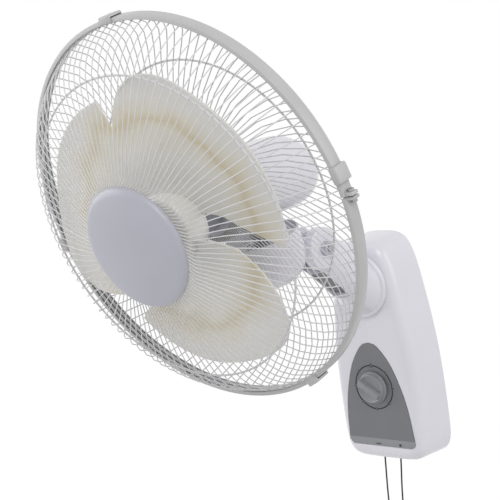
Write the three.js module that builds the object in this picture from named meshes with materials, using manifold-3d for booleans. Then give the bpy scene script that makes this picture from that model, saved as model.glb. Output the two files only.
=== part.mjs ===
// Wall mounted fan with a tilting, swinging head, a timer dial and two pull cords.
// Millimetres, +Z up. The wall is the plane y = 0, the fan reaches out along -Y and is
// symmetric about x = 0. The origin lies on the wall behind the middle of the base.
// Inside the head group y runs back along the fan's shaft from the plane of the guard's
// hoop, and z is square to the shaft: the group carries the head's tilt.
import * as THREE from 'three';
import { mergeVertices } from 'three/addons/utils/BufferGeometryUtils.js';
import Module from 'manifold-3d';

const wasm = await Module();
wasm.setup();
const { Manifold, Mesh } = wasm;

// ---------- driving dimensions ----------
const GAP = 0.3;                    // running gap between neighbouring pieces
const RAD = Math.PI / 180;
const ROUND = 20;                   // facets round a large turned piece
const SMALL_ROUND = 12;             // facets round a pin or bush

// base
const BASE_H = 282;                 // height of the base
const BASE_TOP_W = 96;              // its width at the top, at the wall
const BASE_LOW_W = 132;             // and at the bottom
const BASE_D = 58;                  // wall to front face
const BASE_WALL = 2.6;              // moulded wall thickness
const BASE_STANDOFF = 0.5;          // housing rim to wall
const BASE_TOP_R = 19;              // corner radii seen from the front
const BASE_LOW_R = 38;
const BASE_EDGE_R = 14;             // rounding between front and sides
const BASE_DRAFT = 3;               // inward lean of the sides over the depth
const BACK_T = 2.8;                 // back cover thickness
const BACK_Y = 3.2;                 // wall to back cover
const BOSS_R = 4;                   // screw bosses inside the housing
const BRACKET = { w: 66, h: 150, t: 2, hookW: 14, hookUp: 8, holeR: 2.6, holeZ: 52, hookZ: 40 };

// control panel and timer
const PANEL_TOP_Z = 8;
const PANEL_LOW_Z = -122;
const PANEL_HALF_W = 48;
const PANEL_T = 1.8;
const PANEL_SINK = 1.4;
const DIAL_Z = -47;
const KNOB_R = 20;
const KNOB_H = 13;
const KNOB_GRIP = { w: 8.5, h: 5, turn: -32 * RAD };
const TIMER_SHAFT_R = 3;
const TIMER = { w: 40, h: 36, d: 20 };

// pull cords
const CORD_X = 12;
const CORD_Y = -42;
const CORD_D = 2;
const CORD_TOP_Z = -118;
const CORD_LOW_Z = -300;
const BELL = { r: 5.5, h: 20, neckR: 2.2 };
const SWITCH = { w: 20, d: 22, h: 26 };
const INLET = { x: -20, y: -20, r: 5, flangeR: 7, bore: 2.6, len: 14 };
const EYELET = { bore: 1.7, r: 3.4, flangeR: 4.6, flangeT: 1.2, neck: 4.4 };

// neck
const NECK_Z = 80;                  // centre of the round flange on the base
const FLANGE_R = 39.4;
const FLANGE_T = 5;
const SPIGOT_R = 20;
const SPIGOT_L = 9;
const STIFFENER_T = 2.4;
const TILT_Y = -140;                // tilt hinge
const TILT_Z = 143;
const NECK_END_R = 24.5;
const FORK_SLOT = 25.2;             // between the fork's cheeks
const TONGUE_W = FORK_SLOT - 4 * GAP;
const FORK_W = 50;
const BARREL_R = 16;
const BOLT_R = 4;

// head
const RIM_Y = -317;                 // centre of the guard's hoop
const RIM_Z = 220;
const HEAD_TILT = 13.5 * RAD;       // the head looks this far down
const SWING_S = 88;                 // swing axis, behind the hoop's plane
const HOOP_R = 215;
const HOOP_W = 15;
const HOOP_T = 1.8;
const WIRE_R = 0.9;
const RING_R = 1.8;                 // wire radius of the outer rings
const RING_AT_R = 211;            // where the outer rings lie
const WIRES = 26;                   // wires in each grille
const REAR_TWIST_STEPS = 2.5;         // wire spacings that a rear wire turns through
const CLIP_ANGLES = [9, 94, 188, 298].map((a) => a * RAD);
const BADGE_R = 66;
const BADGE_S = -87;                // edge of the badge
const BADGE_RISE = 6;

// motor, shaft and blades
const SHAFT_R = 4;
const SHAFT_FRONT = -54;
const SHAFT_REAR = 78;
const BELL_R = 49;
const BELL_FRONT = 27;
const BELL_REAR = 62;
const BELL_T = 2.5;
const GRILLE_BOSS_R = 28;
const BEARING_R = 9;
const STATOR_OUT = 43;
const STATOR_IN = 24;
const STATOR_FRONT = 35;
const STATOR_REAR = 61;
const REAR_BELL_R = 41;
const HUB_R = 38;
const HUB_FRONT = -46;
const HUB_REAR = 12;
const BLADE_R = 171;
const BLADES = 3;
const BLADE_T = 2.4;

// swing drive and yoke, heights measured square to the shaft
const YOKE_R = 43;
const YOKE_WALL = 2.4;
const YOKE_TOP = -68;
const YOKE_LOW = -127;
const DECK_Z = -88;                 // underside of the deck
const DECK_T = 4;
const BOSS_TOP = -74;
const POST_R = 5;
const POST_HEAD_R = 7;
const POST_HEAD_T = 2;
const POST_TOP = -42;
const SLEEVE_R = 12;
const CRANK = 15;                   // crank throw, and crank axis to swing axis
const CRANK_PIN_R = 2;
const SWING_MOTOR = { r: 20, h: 17, shift: 16 };

// ---------- finishes ----------
const plastic = (name, color, roughness = 0.35) =>
  new THREE.MeshStandardMaterial({ name, color, roughness, metalness: 0 });
const metal = (name, color, roughness = 0.4) =>
  new THREE.MeshStandardMaterial({ name, color, roughness, metalness: 1 });
const WHITE_ABS = plastic('white_abs', 0xe4e3ea, 0.28);
const PALE_GREY_ABS = plastic('pale_grey_abs', 0xb4b4bf, 0.3);
const PANEL_GREY = plastic('panel_grey', 0x7a7b7f, 0.45);
const BLADE_PLASTIC = plastic('blade_plastic', 0xd9d3c6, 0.3);
const COATED_WIRE = metal('coated_wire', 0xc9c9cc, 0.4);
const HOOP_PLASTIC = plastic('hoop_plastic', 0xa7a8ab, 0.4);
const STEEL = metal('steel', 0x9a9c9f, 0.45);
const DARK_PLASTIC = plastic('dark_plastic', 0x2b2b2e, 0.5);
const LAMINATION = metal('lamination', 0x55575c, 0.6);
const CORD_NYLON = plastic('cord_nylon', 0x333336, 0.8);

// ---------- geometry tools ----------

// Merge a geometry's shared corners, drop empty faces and turn it right side out.
function closed(geometry) {
  const bare = geometry.clone();
  for (const name of Object.keys(bare.attributes)) {
    if (name !== 'position') bare.deleteAttribute(name);
  }
  const merged = mergeVertices(bare, 1e-4);
  const p = merged.attributes.position.array;
  const source = merged.index.array;
  const faces = [];
  let volume = 0;
  for (let i = 0; i < source.length; i += 3) {
    const [a, b, c] = [source[i], source[i + 1], source[i + 2]];
    if (a === b || b === c || c === a) continue;
    faces.push([a, b, c]);
    const [ax, ay, az] = [p[3 * a], p[3 * a + 1], p[3 * a + 2]];
    const [bx, by, bz] = [p[3 * b], p[3 * b + 1], p[3 * b + 2]];
    const [cx, cy, cz] = [p[3 * c], p[3 * c + 1], p[3 * c + 2]];
    volume += ax * (by * cz - bz * cy) + ay * (bz * cx - bx * cz) + az * (bx * cy - by * cx);
  }
  const result = new THREE.BufferGeometry();
  result.setAttribute('position', new THREE.BufferAttribute(new Float32Array(p), 3));
  result.setIndex(faces.flatMap(([a, b, c]) => (volume < 0 ? [a, c, b] : [a, b, c])));
  return result;
}

function solid(geometry) {
  const g = closed(geometry);
  return new Manifold(new Mesh({
    numProp: 3,
    vertProperties: g.attributes.position.array,
    triVerts: new Uint32Array(g.index.array),
  }));
}

function geometryOf(manifold) {
  const mesh = manifold.getMesh();
  const g = new THREE.BufferGeometry();
  g.setAttribute('position', new THREE.BufferAttribute(new Float32Array(mesh.vertProperties), 3));
  g.setIndex(new THREE.BufferAttribute(new Uint32Array(mesh.triVerts), 1));
  return g;
}

const join = (...parts) => Manifold.union(parts.flat());
const cut = (body, ...tools) => tools.flat().reduce((left, tool) => left.subtract(tool), body);

// Turned piece about the y axis from a closed profile of [radius, y] pairs.
function turned(profile, sides = ROUND) {
  const points = profile.map(([r, y]) => new THREE.Vector2(r, y));
  const onAxis = profile[0][0] === 0 && profile[profile.length - 1][0] === 0;
  if (!onAxis) points.push(points[0].clone());
  return new THREE.LatheGeometry(points, sides);
}
const turnedUp = (profile, sides) => turned(profile, sides).rotateX(Math.PI / 2);

const disc = (r, y0, y1, sides = ROUND) => turned([[0, y0], [r, y0], [r, y1], [0, y1]], sides);
const discUp = (r, z0, z1, sides = ROUND) => disc(r, z0, z1, sides).rotateX(Math.PI / 2);
const ring = (r0, r1, y0, y1, sides = ROUND) => turned([[r0, y0], [r1, y0], [r1, y1], [r0, y1]], sides);
const ringUp = (r0, r1, z0, z1, sides = ROUND) => ring(r0, r1, z0, z1, sides).rotateX(Math.PI / 2);
const rodX = (r, x0, x1, sides = SMALL_ROUND) => disc(r, x0, x1, sides).rotateZ(-Math.PI / 2);

function box(x0, x1, y0, y1, z0, z1) {
  return new THREE.BoxGeometry(x1 - x0, y1 - y0, z1 - z0)
    .translate((x0 + x1) / 2, (y0 + y1) / 2, (z0 + z1) / 2);
}

// Plate from an outline of [x, z] pairs, between two depths y0 < y1.
function plate(outline, y0, y1) {
  const shape = new THREE.Shape(outline.map(([x, z]) => new THREE.Vector2(x, z)));
  return new THREE.ExtrudeGeometry(shape, { depth: y1 - y0, bevelEnabled: false })
    .rotateX(Math.PI / 2).translate(0, y1, 0);
}

// Skin through rings of equal length, with a fan over each end.
function loft(rings) {
  const n = rings[0].length;
  const points = rings.flat();
  const faces = [];
  for (let k = 0; k + 1 < rings.length; k += 1) {
    for (let i = 0; i < n; i += 1) {
      const j = (i + 1) % n;
      const [a, b, c, d] = [k * n + i, k * n + j, (k + 1) * n + j, (k + 1) * n + i];
      faces.push(a, b, c, a, c, d);
    }
  }
  for (const [k, flip] of [[0, true], [rings.length - 1, false]]) {
    const middle = rings[k].reduce((sum, p) => sum.add(p), new THREE.Vector3()).divideScalar(n);
    const m = points.push(middle) - 1;
    for (let i = 0; i < n; i += 1) {
      const [a, b] = [k * n + i, k * n + ((i + 1) % n)];
      faces.push(...(flip ? [m, b, a] : [m, a, b]));
    }
  }
  const g = new THREE.BufferGeometry();
  g.setAttribute('position', new THREE.Float32BufferAttribute(points.flatMap((p) => p.toArray()), 3));
  g.setIndex(faces);
  return g;
}

// Rod of even thickness through points, with flat ends.
function rod(points, radius, sides) {
  const rings = points.map((p, i) => {
    const before = points[Math.max(i - 1, 0)];
    const after = points[Math.min(i + 1, points.length - 1)];
    const along = after.clone().sub(before).normalize();
    const side = new THREE.Vector3(-p.z, 0.001, p.x).cross(along).normalize();
    const up = along.clone().cross(side);
    return Array.from({ length: sides }, (_, k) => {
      const t = 2 * Math.PI * (k + 0.5) / sides;
      return p.clone().addScaledVector(side, radius * Math.cos(t)).addScaledVector(up, radius * Math.sin(t));
    });
  });
  return loft(rings);
}

// Convex outline with rounded corners from [x, z, radius] corners, moved inwards by inset.
function roundedOutline(corners, inset, steps = 4) {
  const n = corners.length;
  const edges = corners.map(([x, z], i) => {
    const [nx, nz] = corners[(i + 1) % n];
    const d = new THREE.Vector2(nx - x, nz - z).normalize();
    return { d, p: new THREE.Vector2(x - d.y * inset, z + d.x * inset) };
  });
  const moved = edges.map((edge, i) => {
    const last = edges[(i + n - 1) % n];
    const gap = edge.p.clone().sub(last.p);
    const t = gap.cross(edge.d) / last.d.cross(edge.d);
    return last.p.clone().addScaledVector(last.d, t);
  });
  const outline = [];
  moved.forEach((corner, i) => {
    const before = edges[(i + n - 1) % n].d;
    const after = edges[i].d;
    const turn = Math.acos(THREE.MathUtils.clamp(before.dot(after), -1, 1));
    const r = Math.max(corners[i][2] - inset, 1.5);
    const start = corner.clone().addScaledVector(before, -r * Math.tan(turn / 2));
    const centre = start.clone().add(new THREE.Vector2(-before.y, before.x).multiplyScalar(r));
    const a0 = Math.atan2(start.y - centre.y, start.x - centre.x);
    for (let k = 0; k <= steps; k += 1) {
      const a = a0 + turn * k / steps;
      outline.push([centre.x + r * Math.cos(a), centre.y + r * Math.sin(a)]);
    }
  });
  return outline;
}

const group = new THREE.Group();
const head = new THREE.Group();
head.position.set(0, RIM_Y, RIM_Z);
head.rotation.x = HEAD_TILT;
group.add(head);

function add(parent, name, shape, material) {
  const geometry = shape.isBufferGeometry ? closed(shape) : geometryOf(shape);
  geometry.computeVertexNormals();
  const mesh = new THREE.Mesh(geometry, material);
  mesh.name = name;
  parent.add(mesh);
}

// A place in the part's frame, seen from inside the head group.
function inHead(y, z) {
  const [dy, dz] = [y - RIM_Y, z - RIM_Z];
  const [c, s] = [Math.cos(HEAD_TILT), Math.sin(HEAD_TILT)];
  return [dy * c + dz * s, -dy * s + dz * c];
}
const [HINGE_S, HINGE_H] = inHead(TILT_Y, TILT_Z);

// ---------- base ----------
const baseCorners = [
  [-BASE_LOW_W / 2, -BASE_H / 2, BASE_LOW_R], [BASE_LOW_W / 2, -BASE_H / 2, BASE_LOW_R],
  [BASE_TOP_W / 2, BASE_H / 2, BASE_TOP_R], [-BASE_TOP_W / 2, BASE_H / 2, BASE_TOP_R],
];
const FRONT_INNER = -(BASE_D - BASE_WALL);
const BACK_FRONT = -(BACK_Y + BACK_T);

// The housing's outside, or its inside when grown inwards by the wall.
function baseForm(wall, backY) {
  const fall = [0, 30, 60, 90].map((a) => a * RAD);
  const levels = [[backY, 0]];
  for (const a of fall) {
    levels.push([-(BASE_D - BASE_EDGE_R * (1 - Math.sin(a))), BASE_DRAFT + BASE_EDGE_R * (1 - Math.cos(a))]);
  }
  return loft(levels.map(([y, inset], i) => {
    const depth = i === 0 ? y : y + wall;
    return roundedOutline(baseCorners, inset + wall).map(([x, z]) => new THREE.Vector3(x, depth, z));
  }));
}

function panelOutline(grow) {
  const w = PANEL_HALF_W + grow;
  const [top, low] = [PANEL_TOP_Z + grow, PANEL_LOW_Z - grow];
  const cornerR = 13;
  const shape = new THREE.Shape();
  shape.moveTo(0, low);
  shape.lineTo(w - cornerR, low);
  shape.quadraticCurveTo(w, low, w, low + cornerR);
  shape.bezierCurveTo(w - 2, low + 62, w * 0.46, top, 0, top);
  shape.bezierCurveTo(-w * 0.46, top, -w + 2, low + 62, -w, low + cornerR);
  shape.quadraticCurveTo(-w, low, -w + cornerR, low);
  return shape.getPoints(6).slice(0, -1).map((p) => [p.x, p.y]);
}

const bossPlaces = [[-BASE_TOP_W / 2 + 13, BASE_H / 2 - 17], [BASE_TOP_W / 2 - 13, BASE_H / 2 - 17],
  [-BASE_LOW_W / 2 + 15, -BASE_H / 2 + 46], [BASE_LOW_W / 2 - 15, -BASE_H / 2 + 46]];

function makeHousing() {
  const shell = cut(solid(baseForm(0, -BASE_STANDOFF)), solid(baseForm(BASE_WALL, 1)));
  const bosses = bossPlaces.map(([x, z]) => solid(
    ring(1.3, BOSS_R, FRONT_INNER - 0.5, BACK_FRONT - GAP, 12).translate(x, 0, z)));
  const pocket = solid(plate(panelOutline(GAP), -BASE_D - 1, -BASE_D + PANEL_SINK));
  const shaftHole = solid(disc(TIMER_SHAFT_R + 1, -BASE_D - 1, FRONT_INNER + 1, SMALL_ROUND).translate(0, 0, DIAL_Z));
  const neckHole = solid(disc(SPIGOT_R + GAP, -BASE_D - 1, FRONT_INNER + 1).translate(0, 0, NECK_Z));
  const cordHoles = [-CORD_X, CORD_X].map((x) => solid(
    discUp(EYELET.r + GAP, -BASE_H / 2 - 1, -BASE_H / 2 + 12, SMALL_ROUND).translate(x, CORD_Y, 0)));
  const inletHole = solid(discUp(INLET.r + GAP, -BASE_H / 2 - 1, -BASE_H / 2 + 6, SMALL_ROUND)
    .translate(INLET.x, INLET.y, 0));
  return cut(join(shell, bosses), pocket, shaftHole, neckHole, cordHoles, inletHole);
}
const hookSlots = [BRACKET.hookZ, -BRACKET.hookZ];

add(group, 'base_housing', makeHousing(), WHITE_ABS);

function makeBackCover() {
  const outline = roundedOutline(baseCorners, BASE_WALL + GAP + 0.2);
  const sheet = solid(plate(outline, BACK_FRONT, -BACK_Y));
  const slots = hookSlots.map((z) => solid(box(-BRACKET.hookW / 2 - 1, BRACKET.hookW / 2 + 1,
    BACK_FRONT - 1, 0, z - 8, z + BRACKET.t + GAP)));
  const screwHoles = bossPlaces.map(([x, z]) => solid(disc(1.8, BACK_FRONT - 1, 0, 12).translate(x, 0, z)));
  return cut(sheet, slots, screwHoles);
}
add(group, 'base_back_cover', makeBackCover(), WHITE_ABS);

function makeBracket() {
  const { w, h, t, hookW, hookUp, holeR, holeZ } = BRACKET;
  const corners = [[-w / 2, -h / 2, 8], [w / 2, -h / 2, 8], [w / 2, h / 2, 8], [-w / 2, h / 2, 8]];
  const sheet = solid(plate(roundedOutline(corners, 0, 3), -t, 0));
  const lipY = BACK_FRONT - GAP;
  const hooks = hookSlots.flatMap((z) => [
    solid(box(-hookW / 2, hookW / 2, lipY - t, -t / 2, z, z + t)),
    solid(box(-hookW / 2, hookW / 2, lipY - t, lipY, z, z + t + hookUp)),
  ]);
  const holes = [[-w / 2 + 12, holeZ], [w / 2 - 12, holeZ], [0, -holeZ - 12]].map(([x, z]) =>
    solid(disc(holeR, -t - 1, 1, 16).translate(x, 0, z)));
  const key = solid(disc(2 * holeR, -t - 1, 1, 16).translate(0, 0, holeZ - 10));
  const keySlot = solid(box(-holeR, holeR, -t - 1, 1, holeZ - 10, holeZ + 2));
  return cut(join(sheet, hooks), holes, key, keySlot);
}
add(group, 'wall_bracket', makeBracket(), STEEL);

const panelFront = -BASE_D + PANEL_SINK - GAP - PANEL_T;
add(group, 'control_panel', cut(
  solid(plate(panelOutline(0), panelFront, panelFront + PANEL_T)),
  solid(disc(TIMER_SHAFT_R + 1, panelFront - 1, panelFront + PANEL_T + 1, SMALL_ROUND).translate(0, 0, DIAL_Z))),
PANEL_GREY);

const timerFront = FRONT_INNER + GAP;
const shaftEnd = timerFront + 12;
add(group, 'timer_body', cut(
  solid(box(-TIMER.w / 2, TIMER.w / 2, timerFront, timerFront + TIMER.d, DIAL_Z - TIMER.h / 2, DIAL_Z + TIMER.h / 2)),
  solid(disc(TIMER_SHAFT_R + GAP, timerFront - 1, shaftEnd + GAP, SMALL_ROUND).translate(0, 0, DIAL_Z))),
DARK_PLASTIC);

function makeKnob() {
  const back = panelFront - GAP;
  const skirt = turned([[0, back], [KNOB_R, back], [KNOB_R, back - 3], [KNOB_R - 1.6, back - 4],
    [KNOB_R - 3, back - KNOB_H + 1.5], [KNOB_R - 4.5, back - KNOB_H], [0, back - KNOB_H]]);
  const grip = box(-KNOB_R + 4, KNOB_R - 4, back - KNOB_H - KNOB_GRIP.h, back - KNOB_H + 2,
    -KNOB_GRIP.w / 2, KNOB_GRIP.w / 2).rotateY(-KNOB_GRIP.turn);
  const shaft = disc(TIMER_SHAFT_R, back - 2, shaftEnd, SMALL_ROUND);
  return join(solid(skirt), solid(grip), solid(shaft)).translate([0, 0, DIAL_Z]);
}
add(group, 'timer_knob', makeKnob(), PALE_GREY_ABS);

// switches above the cords
const switchLow = CORD_TOP_Z + GAP;
for (const [name, x] of [['swing_switch', -CORD_X], ['speed_switch', CORD_X]]) {
  const outer = Math.sign(x) * (Math.abs(x) + SWITCH.w / 2 - 2);
  const [x0, x1] = [Math.min(Math.sign(x) * 1.2, outer), Math.max(Math.sign(x) * 1.2, outer)];
  add(group, name, box(x0, x1, timerFront, timerFront + SWITCH.d, switchLow, switchLow + SWITCH.h), DARK_PLASTIC);
}

// electrical pieces seated on the back cover
const seatBack = BACK_FRONT - GAP;
add(group, 'run_capacitor', box(14, 44, seatBack - 18, seatBack, -38, -6), DARK_PLASTIC);
add(group, 'terminal_block', box(-30, 30, seatBack - 15, seatBack, 2, 18), PALE_GREY_ABS);

// cord eyelets in the floor, and the gland for a mains lead
const floorAt = (y) => -BASE_H / 2 + BASE_DRAFT * (-y - BASE_STANDOFF) / (BASE_D - BASE_EDGE_R - BASE_STANDOFF);
const eyeletSeat = floorAt(CORD_Y + EYELET.flangeR) - GAP;
const inletSeat = floorAt(INLET.y + INLET.flangeR) - GAP;
for (const [name, x] of [['swing_eyelet', -CORD_X], ['speed_eyelet', CORD_X]]) {
  add(group, name, turnedUp([[EYELET.bore, eyeletSeat - EYELET.flangeT], [EYELET.flangeR, eyeletSeat - EYELET.flangeT],
    [EYELET.flangeR, eyeletSeat], [EYELET.r, eyeletSeat], [EYELET.r, eyeletSeat + EYELET.neck],
    [EYELET.bore, eyeletSeat + EYELET.neck]], 12).translate(x, CORD_Y, 0), DARK_PLASTIC);
}
add(group, 'power_inlet', turnedUp([[INLET.bore, inletSeat - 4], [INLET.flangeR - 1, inletSeat - 4],
  [INLET.flangeR, inletSeat], [INLET.r, inletSeat], [INLET.r, inletSeat + INLET.len - 4],
  [INLET.bore, inletSeat + INLET.len - 4]], SMALL_ROUND).translate(INLET.x, INLET.y, 0), DARK_PLASTIC);

// ---------- pull cords ----------
function cordRoute(x) {
  const points = [];
  for (let z = CORD_TOP_Z; z > CORD_LOW_Z; z -= 13) points.push(new THREE.Vector3(x, CORD_Y, z));
  points.push(new THREE.Vector3(x, CORD_Y, CORD_LOW_Z));
  return new THREE.CatmullRomCurve3(points);
}

for (const [side, x] of [['swing', -CORD_X], ['speed', CORD_X]]) {
  const section = new THREE.Shape(Array.from({ length: 8 }, (_, k) => new THREE.Vector2(
    CORD_D / 2 * Math.cos(k * Math.PI / 4), CORD_D / 2 * Math.sin(k * Math.PI / 4))));
  const length = CORD_TOP_Z - CORD_LOW_Z;
  add(group, `${side}_cord`, new THREE.ExtrudeGeometry(section, {
    steps: Math.round(length / (3 * CORD_D)), bevelEnabled: false, extrudePath: cordRoute(x),
  }), CORD_NYLON);
  const top = CORD_LOW_Z - GAP;
  add(group, `${side}_bell`, turnedUp([[0, top - BELL.h], [BELL.r, top - BELL.h], [BELL.r, top - BELL.h + 3],
    [BELL.r * 0.72, top - BELL.h * 0.5], [BELL.neckR, top], [0, top]], SMALL_ROUND).translate(x, CORD_Y, 0), WHITE_ABS);
}

// ---------- neck ----------
function neckSection(y, z, r, lean) {
  const sides = 18;
  const up = new THREE.Vector3(0, Math.sin(lean), Math.cos(lean));
  const centre = new THREE.Vector3(0, y, z);
  return Array.from({ length: sides }, (_, k) => {
    const t = 2 * Math.PI * k / sides;
    return centre.clone().add(new THREE.Vector3(r * Math.cos(t), 0, 0)).addScaledVector(up, r * Math.sin(t));
  });
}

const flangeBack = -BASE_D - GAP;
const neckRun = new THREE.Vector2(flangeBack - FLANGE_T - TILT_Y, NECK_Z - TILT_Z);
const neckLean = Math.atan2(-neckRun.y, neckRun.x);

function makeNeck() {
  const start = flangeBack - FLANGE_T;
  const share = [0, 0.12, 0.4, 0.7, 1];
  const radii = [FLANGE_R - 3.5, FLANGE_R - 5, FLANGE_R - 9, NECK_END_R + 2.5, NECK_END_R];
  const leans = [0, 0.35, 0.85, 1, 1];
  const sections = share.map((t, i) => {
    const bow = 5 * Math.sin(Math.PI * t);
    return neckSection(start + (TILT_Y - start) * t, NECK_Z + (TILT_Z - NECK_Z) * t + bow, radii[i], neckLean * leans[i]);
  });
  const arm = solid(loft(sections));
  const flange = solid(turned([[0, flangeBack], [FLANGE_R - 1, flangeBack], [FLANGE_R, flangeBack - 1],
    [FLANGE_R, start + 1.5], [FLANGE_R - 1.5, start], [FLANGE_R - 4, start - 0.5], [0, start - 0.5]]).translate(0, 0, NECK_Z));
  const spigot = solid(disc(SPIGOT_R, flangeBack - 1, flangeBack + SPIGOT_L).translate(0, 0, NECK_Z));
  const fork = solid(rodX(NECK_END_R, -FORK_W / 2, FORK_W / 2, ROUND).translate(0, TILT_Y, TILT_Z));
  const slot = solid(box(-FORK_SLOT / 2, FORK_SLOT / 2, -60, BARREL_R + 3, -70, 70).rotateX(-neckLean)
    .translate(0, TILT_Y, TILT_Z));
  const boltHole = solid(rodX(BOLT_R + GAP, -FORK_W, FORK_W).translate(0, TILT_Y, TILT_Z));
  return cut(join(arm, flange, spigot, fork), slot, boltHole);
}
add(group, 'neck_arm', makeNeck(), WHITE_ABS);

const stiffenerBack = timerFront + STIFFENER_T;
add(group, 'neck_stiffener', cut(
  solid(plate([[-30, NECK_Z - 34], [30, NECK_Z - 34], [27, NECK_Z + 34], [-27, NECK_Z + 34]], timerFront, stiffenerBack)),
  solid(disc(SPIGOT_R + GAP, timerFront - 1, stiffenerBack + 1).translate(0, 0, NECK_Z))), STEEL);

add(group, 'tilt_bolt', join(
  solid(rodX(BOLT_R, -FORK_W / 2 - GAP - 1, FORK_W / 2 + 8)),
  solid(rodX(BOLT_R * 2, -FORK_W / 2 - GAP - 5, -FORK_W / 2 - GAP, 24))).translate([0, TILT_Y, TILT_Z]), STEEL);
add(group, 'tilt_nut', cut(solid(rodX(BOLT_R * 2.1, FORK_W / 2 + GAP, FORK_W / 2 + 7, 12)),
  solid(rodX(BOLT_R + GAP, FORK_W / 2 - 1, FORK_W / 2 + 9))).translate([0, TILT_Y, TILT_Z]), PALE_GREY_ABS);

// ---------- yoke and swing drive, on the tilting side ----------
const atSwing = (shape) => shape.translate(0, SWING_S, 0);

function tongue(grow, width) {
  const r = BARREL_R + grow;
  const shape = new THREE.Shape();
  shape.moveTo(SWING_S + 8, DECK_Z + DECK_T + grow);
  shape.lineTo(SWING_S + 46 + grow, DECK_Z + DECK_T + grow);
  shape.lineTo(HINGE_S + r * Math.sin(0.9), HINGE_H + r * Math.cos(0.9));
  shape.lineTo(HINGE_S, HINGE_H);
  shape.lineTo(HINGE_S - r * Math.sin(0.55), HINGE_H - r * Math.cos(0.55));
  shape.lineTo(SWING_S + 20 - grow, DECK_Z - 8 - grow);
  shape.lineTo(SWING_S + 8, DECK_Z - grow);
  const web = new THREE.ExtrudeGeometry(shape, { depth: width, bevelEnabled: false })
    .applyMatrix4(new THREE.Matrix4().set(0, 0, 1, -width / 2, 1, 0, 0, 0, 0, 1, 0, 0, 0, 0, 0, 1));
  return join(solid(web), solid(rodX(r, -width / 2, width / 2, ROUND).translate(0, HINGE_S, HINGE_H)));
}

const bossR = 8;
const deckR = YOKE_R - YOKE_WALL - GAP;
const crankS = SWING_S - CRANK;

function makeYokeFrame() {
  const deck = solid(atSwing(discUp(deckR, DECK_Z, DECK_Z + DECK_T)));
  const boss = solid(atSwing(discUp(bossR, DECK_Z + 1, BOSS_TOP, SMALL_ROUND)));
  const postBore = solid(atSwing(discUp(POST_R + GAP, DECK_Z - 30, BOSS_TOP + 1, SMALL_ROUND)));
  const crankBore = solid(discUp(3.4, DECK_Z - 1, DECK_Z + DECK_T + 1, SMALL_ROUND).translate(0, crankS, 0));
  const boltHole = solid(rodX(BOLT_R + GAP, -FORK_W, FORK_W).translate(0, HINGE_S, HINGE_H));
  return cut(join(deck, boss, tongue(0, TONGUE_W)), postBore, crankBore, boltHole);
}
add(head, 'yoke_frame', makeYokeFrame(), PALE_GREY_ABS);

function makeYokeCover() {
  const low = YOKE_LOW;
  const [r, w] = [YOKE_R, YOKE_WALL];
  const bowl = solid(atSwing(turnedUp([[0, low], [r * 0.5, low + 1.8], [r * 0.76, low + 8.5], [r * 0.92, low + 19],
    [r, low + 34], [r, YOKE_TOP - 1], [r - 1, YOKE_TOP], [r - w, YOKE_TOP], [r - w, low + 34.5],
    [r * 0.92 - w, low + 20], [r * 0.76 - w, low + 10.2], [r * 0.5 - w, low + 4.2], [0, low + w]])));
  const forkRoom = solid(rodX(NECK_END_R + 1.5, -FORK_W / 2 - 2, FORK_W / 2 + 2, ROUND).translate(0, HINGE_S, HINGE_H));
  return cut(bowl, tongue(2 * GAP, TONGUE_W + 2 * GAP), forkRoom);
}
add(head, 'yoke_cover', makeYokeCover(), WHITE_ABS);

const motorTop = DECK_Z - GAP;
add(head, 'swing_motor', cut(
  solid(discUp(SWING_MOTOR.r, motorTop - SWING_MOTOR.h, motorTop, 20).translate(0, SWING_S - SWING_MOTOR.shift, 0)),
  solid(discUp(3 + GAP, motorTop - 9, motorTop + 1, SMALL_ROUND).translate(0, crankS, 0)),
  tongue(GAP, TONGUE_W + 2 * GAP)), LAMINATION);

const crankLow = DECK_Z + DECK_T + GAP;
const leverLow = BOSS_TOP + 1.4;
const leverT = 3;
const crankArmTop = leverLow - 3.6;
function makeCrank() {
  const hub = solid(discUp(6, crankLow, crankArmTop, SMALL_ROUND).translate(0, crankS, 0));
  const arm = solid(box(-3.6, 3.6, crankS - CRANK - 3.6, crankS, crankArmTop - 3.4, crankArmTop));
  const pin = solid(discUp(CRANK_PIN_R, crankArmTop - 1, leverLow + leverT, 12).translate(0, crankS - CRANK, 0));
  const shaft = solid(discUp(3, motorTop - 7, crankLow + 1, SMALL_ROUND).translate(0, crankS, 0));
  return join(hub, arm, pin, shaft);
}
add(head, 'swing_crank', makeCrank(), STEEL);

add(head, 'swing_post', join(
  solid(atSwing(discUp(POST_R, DECK_Z, POST_TOP, SMALL_ROUND))),
  solid(atSwing(discUp(POST_HEAD_R, POST_TOP - 0.1, POST_TOP + POST_HEAD_T, SMALL_ROUND)))), STEEL);
add(head, 'swing_washer', atSwing(ringUp(POST_R + GAP, bossR + 1, BOSS_TOP + GAP, leverLow - GAP, SMALL_ROUND)), STEEL);

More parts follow.
